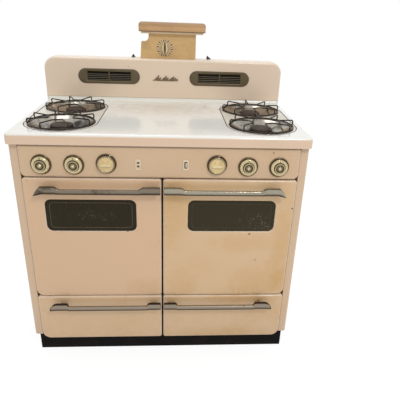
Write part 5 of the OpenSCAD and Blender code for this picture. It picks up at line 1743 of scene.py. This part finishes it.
        # Painted shade: the boss takes a share of the dark second colour.
        shape = Shape().grid(turned(disc, centre, Axis.FRONT, 96), tone=0.35)
        v = np.linspace(-1, 1, 61)[:, None]
        u = np.linspace(-1, 1, 41)[None, :]
        half = 13 * MM * (1 - v ** 2) ** 0.7 + 0.2 * MM
        ridge = np.clip(1 - ((np.abs(u) - 0.6) / 0.42) ** 2, 0, 1) ** 0.5
        lift = (tall - 4.5 * MM) * (1 - 0.6 * v ** 4) * np.maximum(ridge, 0.12)
        front = np.stack([centre[0] + half * u, centre[1] - 4 * MM - lift, centre[2] + length * v + 0 * u], axis=-1)
        # Painted shade: the cleft between the two ridges takes the dark second colour.
        tone = np.clip(1.3 * np.exp(-(u / 0.22) ** 2) * (1 - v ** 8), 0, 1)
        shape.grid(front, around=False, tone=tone)
        shape.piece("timer_knob_moulded", "timer_turn", DIAL, ["timer_knob"])


# ---------------------------------------------------------------- kept nodes


class KeptNodes:
    """Frame nodes whose shape is right: each gets its finish."""

    finishes: dict[str, Finish] = {
        "toe_base": BASE, "side_panel_left": SIDES_ENAMEL, "side_panel_right": SIDES_ENAMEL,
        "back_panel": BARE, "front_frame": DARK, "cooktop": TOP, "backguard": GUARD, "backguard_cover": BARE,
        "burner_trays": TRAY, "gas_manifold": DARK, "burner_valves": BRASS, "oven_valves": BRASS,
        "oven_burners": BURNER, "control_panel": PANEL, "flue_ducts": BARE, "lamp_column": COLUMN,
        "lamp_tube": TUBE_WHITE, "console_bracket": DARK, "oven_liner_left": OVEN, "oven_liner_right": OVEN,
        "oven_racks": BARE,
        "oven_floors": OVEN, "door_liner_left": OVEN, "door_liner_right": OVEN, "drawer_box_left": BARE,
        "drawer_box_right": BARE, "drawer_rails": BARE, "door_hinges": DARK,
    }

    def build(self) -> None:
        """Puts each finish in its node's material slots."""
        for name, finish in self.finishes.items():
            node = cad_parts[name]
            node.data.materials.clear()
            node.data.materials.append(finish.material())
        LOG.info("%d kept nodes dressed", len(self.finishes))


# ---------------------------------------------------------------- studio


def facing(place: Sequence[float], across: Array, above: Array, away: Array) -> Matrix:
    """Matrix of an object at a place, from its own three axes in space."""
    turn = Matrix([list(row) for row in np.stack([across, above, away], axis=1)]).to_4x4()
    return Matrix.Translation(place) @ turn


@dataclass
class Studio:
    """Floor, lights and the camera."""

    place: tuple[float, float, float] = (0.0328, -1.7425, 1.3182)
    yaw: float = 4.32
    pitch: float = 24.22
    roll: float = 2.15
    lens: float = 40.29
    shift: tuple[float, float] = (-0.006, 0.0155)
    key: float = 30.0
    overhead: float = 12.0
    fill: float = 0.75

    def build(self) -> None:
        """Sets up the view, the floor and the lights."""
        scene = bpy.context.scene
        scene.view_settings.view_transform = "Standard"
        self._camera()
        self._floor()
        self._world()
        self._lamp("key", (1.1, -2.6, 3.1), 0.6, self.key)
        self._lamp("overhead", (-0.4, 0.1, 3.4), 1.1, self.overhead)

    def _camera(self) -> None:
        """Places the camera from its heading, its pitch downwards and its roll."""
        yaw, pitch, roll = (math.radians(a) for a in (self.yaw, self.pitch, self.roll))
        ahead = np.array([math.sin(yaw) * math.cos(pitch), math.cos(yaw) * math.cos(pitch), -math.sin(pitch)])
        right = np.array([math.cos(yaw), -math.sin(yaw), 0.0])
        up = np.cross(right, ahead)
        across = right * math.cos(roll) + up * math.sin(roll)
        above = -right * math.sin(roll) + up * math.cos(roll)
        data = bpy.data.cameras.new("camera")
        data.lens = self.lens
        data.sensor_width = 36
        data.shift_x, data.shift_y = self.shift
        data.clip_end = 60
        camera = placed("camera", data)
        camera.matrix_world = facing(self.place, across, above, -ahead)
        bpy.context.scene.camera = camera

    @staticmethod
    def _seen(g: Graph) -> Socket:
        """1 for a camera, glossy or transmission ray, else 0."""
        path = g.node("LightPath")
        seen = g.math("ADD", path.outputs["Is Camera Ray"], path.outputs["Is Glossy Ray"])
        return g.math("ADD", seen, path.outputs["Is Transmission Ray"], clamp=True)

    def _floor(self) -> None:
        """A wide pale floor that is white where it is seen and keeps the shadow."""
        mesh = bpy.data.meshes.new("floor")
        reach = 12.0
        mesh.from_pydata([(-reach, -reach, 0), (reach, -reach, 0), (reach, reach, 0), (-reach, reach, 0)], [],
                         [(0, 1, 2, 3)])
        floor = placed("floor", mesh)
        material = bpy.data.materials.new("floor")
        material.use_nodes = True
        g = Graph(material.node_tree)
        shader = material.node_tree.nodes["Principled BSDF"]
        shader.inputs["Base Color"].default_value = (0.8, 0.8, 0.8, 1)
        shader.inputs["Roughness"].default_value = 0.9
        glow = g.node("Emission", {"Color": (1, 1, 1, 1), "Strength": 1.12})
        share = g.math("MULTIPLY", self._seen(g), 0.8)
        mixed = g.node("MixShader", {0: share, 1: shader.outputs[0], 2: glow.outputs[0]})
        g.tree.links.new(mixed.outputs[0], material.node_tree.nodes["Material Output"].inputs[0])
        mesh.materials.append(material)

    def _world(self) -> None:
        """A white surround where it is seen, and a plain soft fill for the rest."""
        world = bpy.data.worlds.new("world")
        bpy.context.scene.world = world
        world.use_nodes = True
        g = Graph(world.node_tree)
        strength = g.math("ADD", self.fill, g.math("MULTIPLY", self._seen(g), 1.0 - self.fill))
        back = world.node_tree.nodes["Background"]
        back.inputs["Color"].default_value = (1, 1, 1, 1)
        g.tree.links.new(strength, back.inputs["Strength"])

    @staticmethod
    def _lamp(name: str, place: tuple[float, float, float], size: float, power: float) -> None:
        """A square soft lamp that faces the middle of the range."""
        data = bpy.data.lights.new(name, "AREA")
        data.size = size
        data.energy = power
        lamp = placed(name, data)
        target = np.array([0.0, 0.0, 0.6])
        away = np.array(place) - target
        away /= np.linalg.norm(away)
        side = np.cross([0.0, 1.0, 0.0], away)
        side /= np.linalg.norm(side)
        lamp.matrix_world = facing(place, side, np.cross(away, side), away)


def main() -> None:
    """Builds the studio, dresses the kept nodes and builds every new piece."""
    logging.basicConfig(level=logging.INFO, format="%(message)s")
    Studio().build()
    KeptNodes().build()
    Fronts().build()
    handles = [BarHandle(Grip.DOOR, "left", CHROME_LEFT), BarHandle(Grip.DOOR, "right", CHROME),
               BarHandle(Grip.DRAWER, "left", SATIN), BarHandle(Grip.DRAWER, "right", SATIN)]
    for handle in handles:
        handle.build()
    Controls().build()
    Plates().build()
    Burners().build()
    Backguard().build()
    Console().build()


if __name__ == "__main__":
    main()
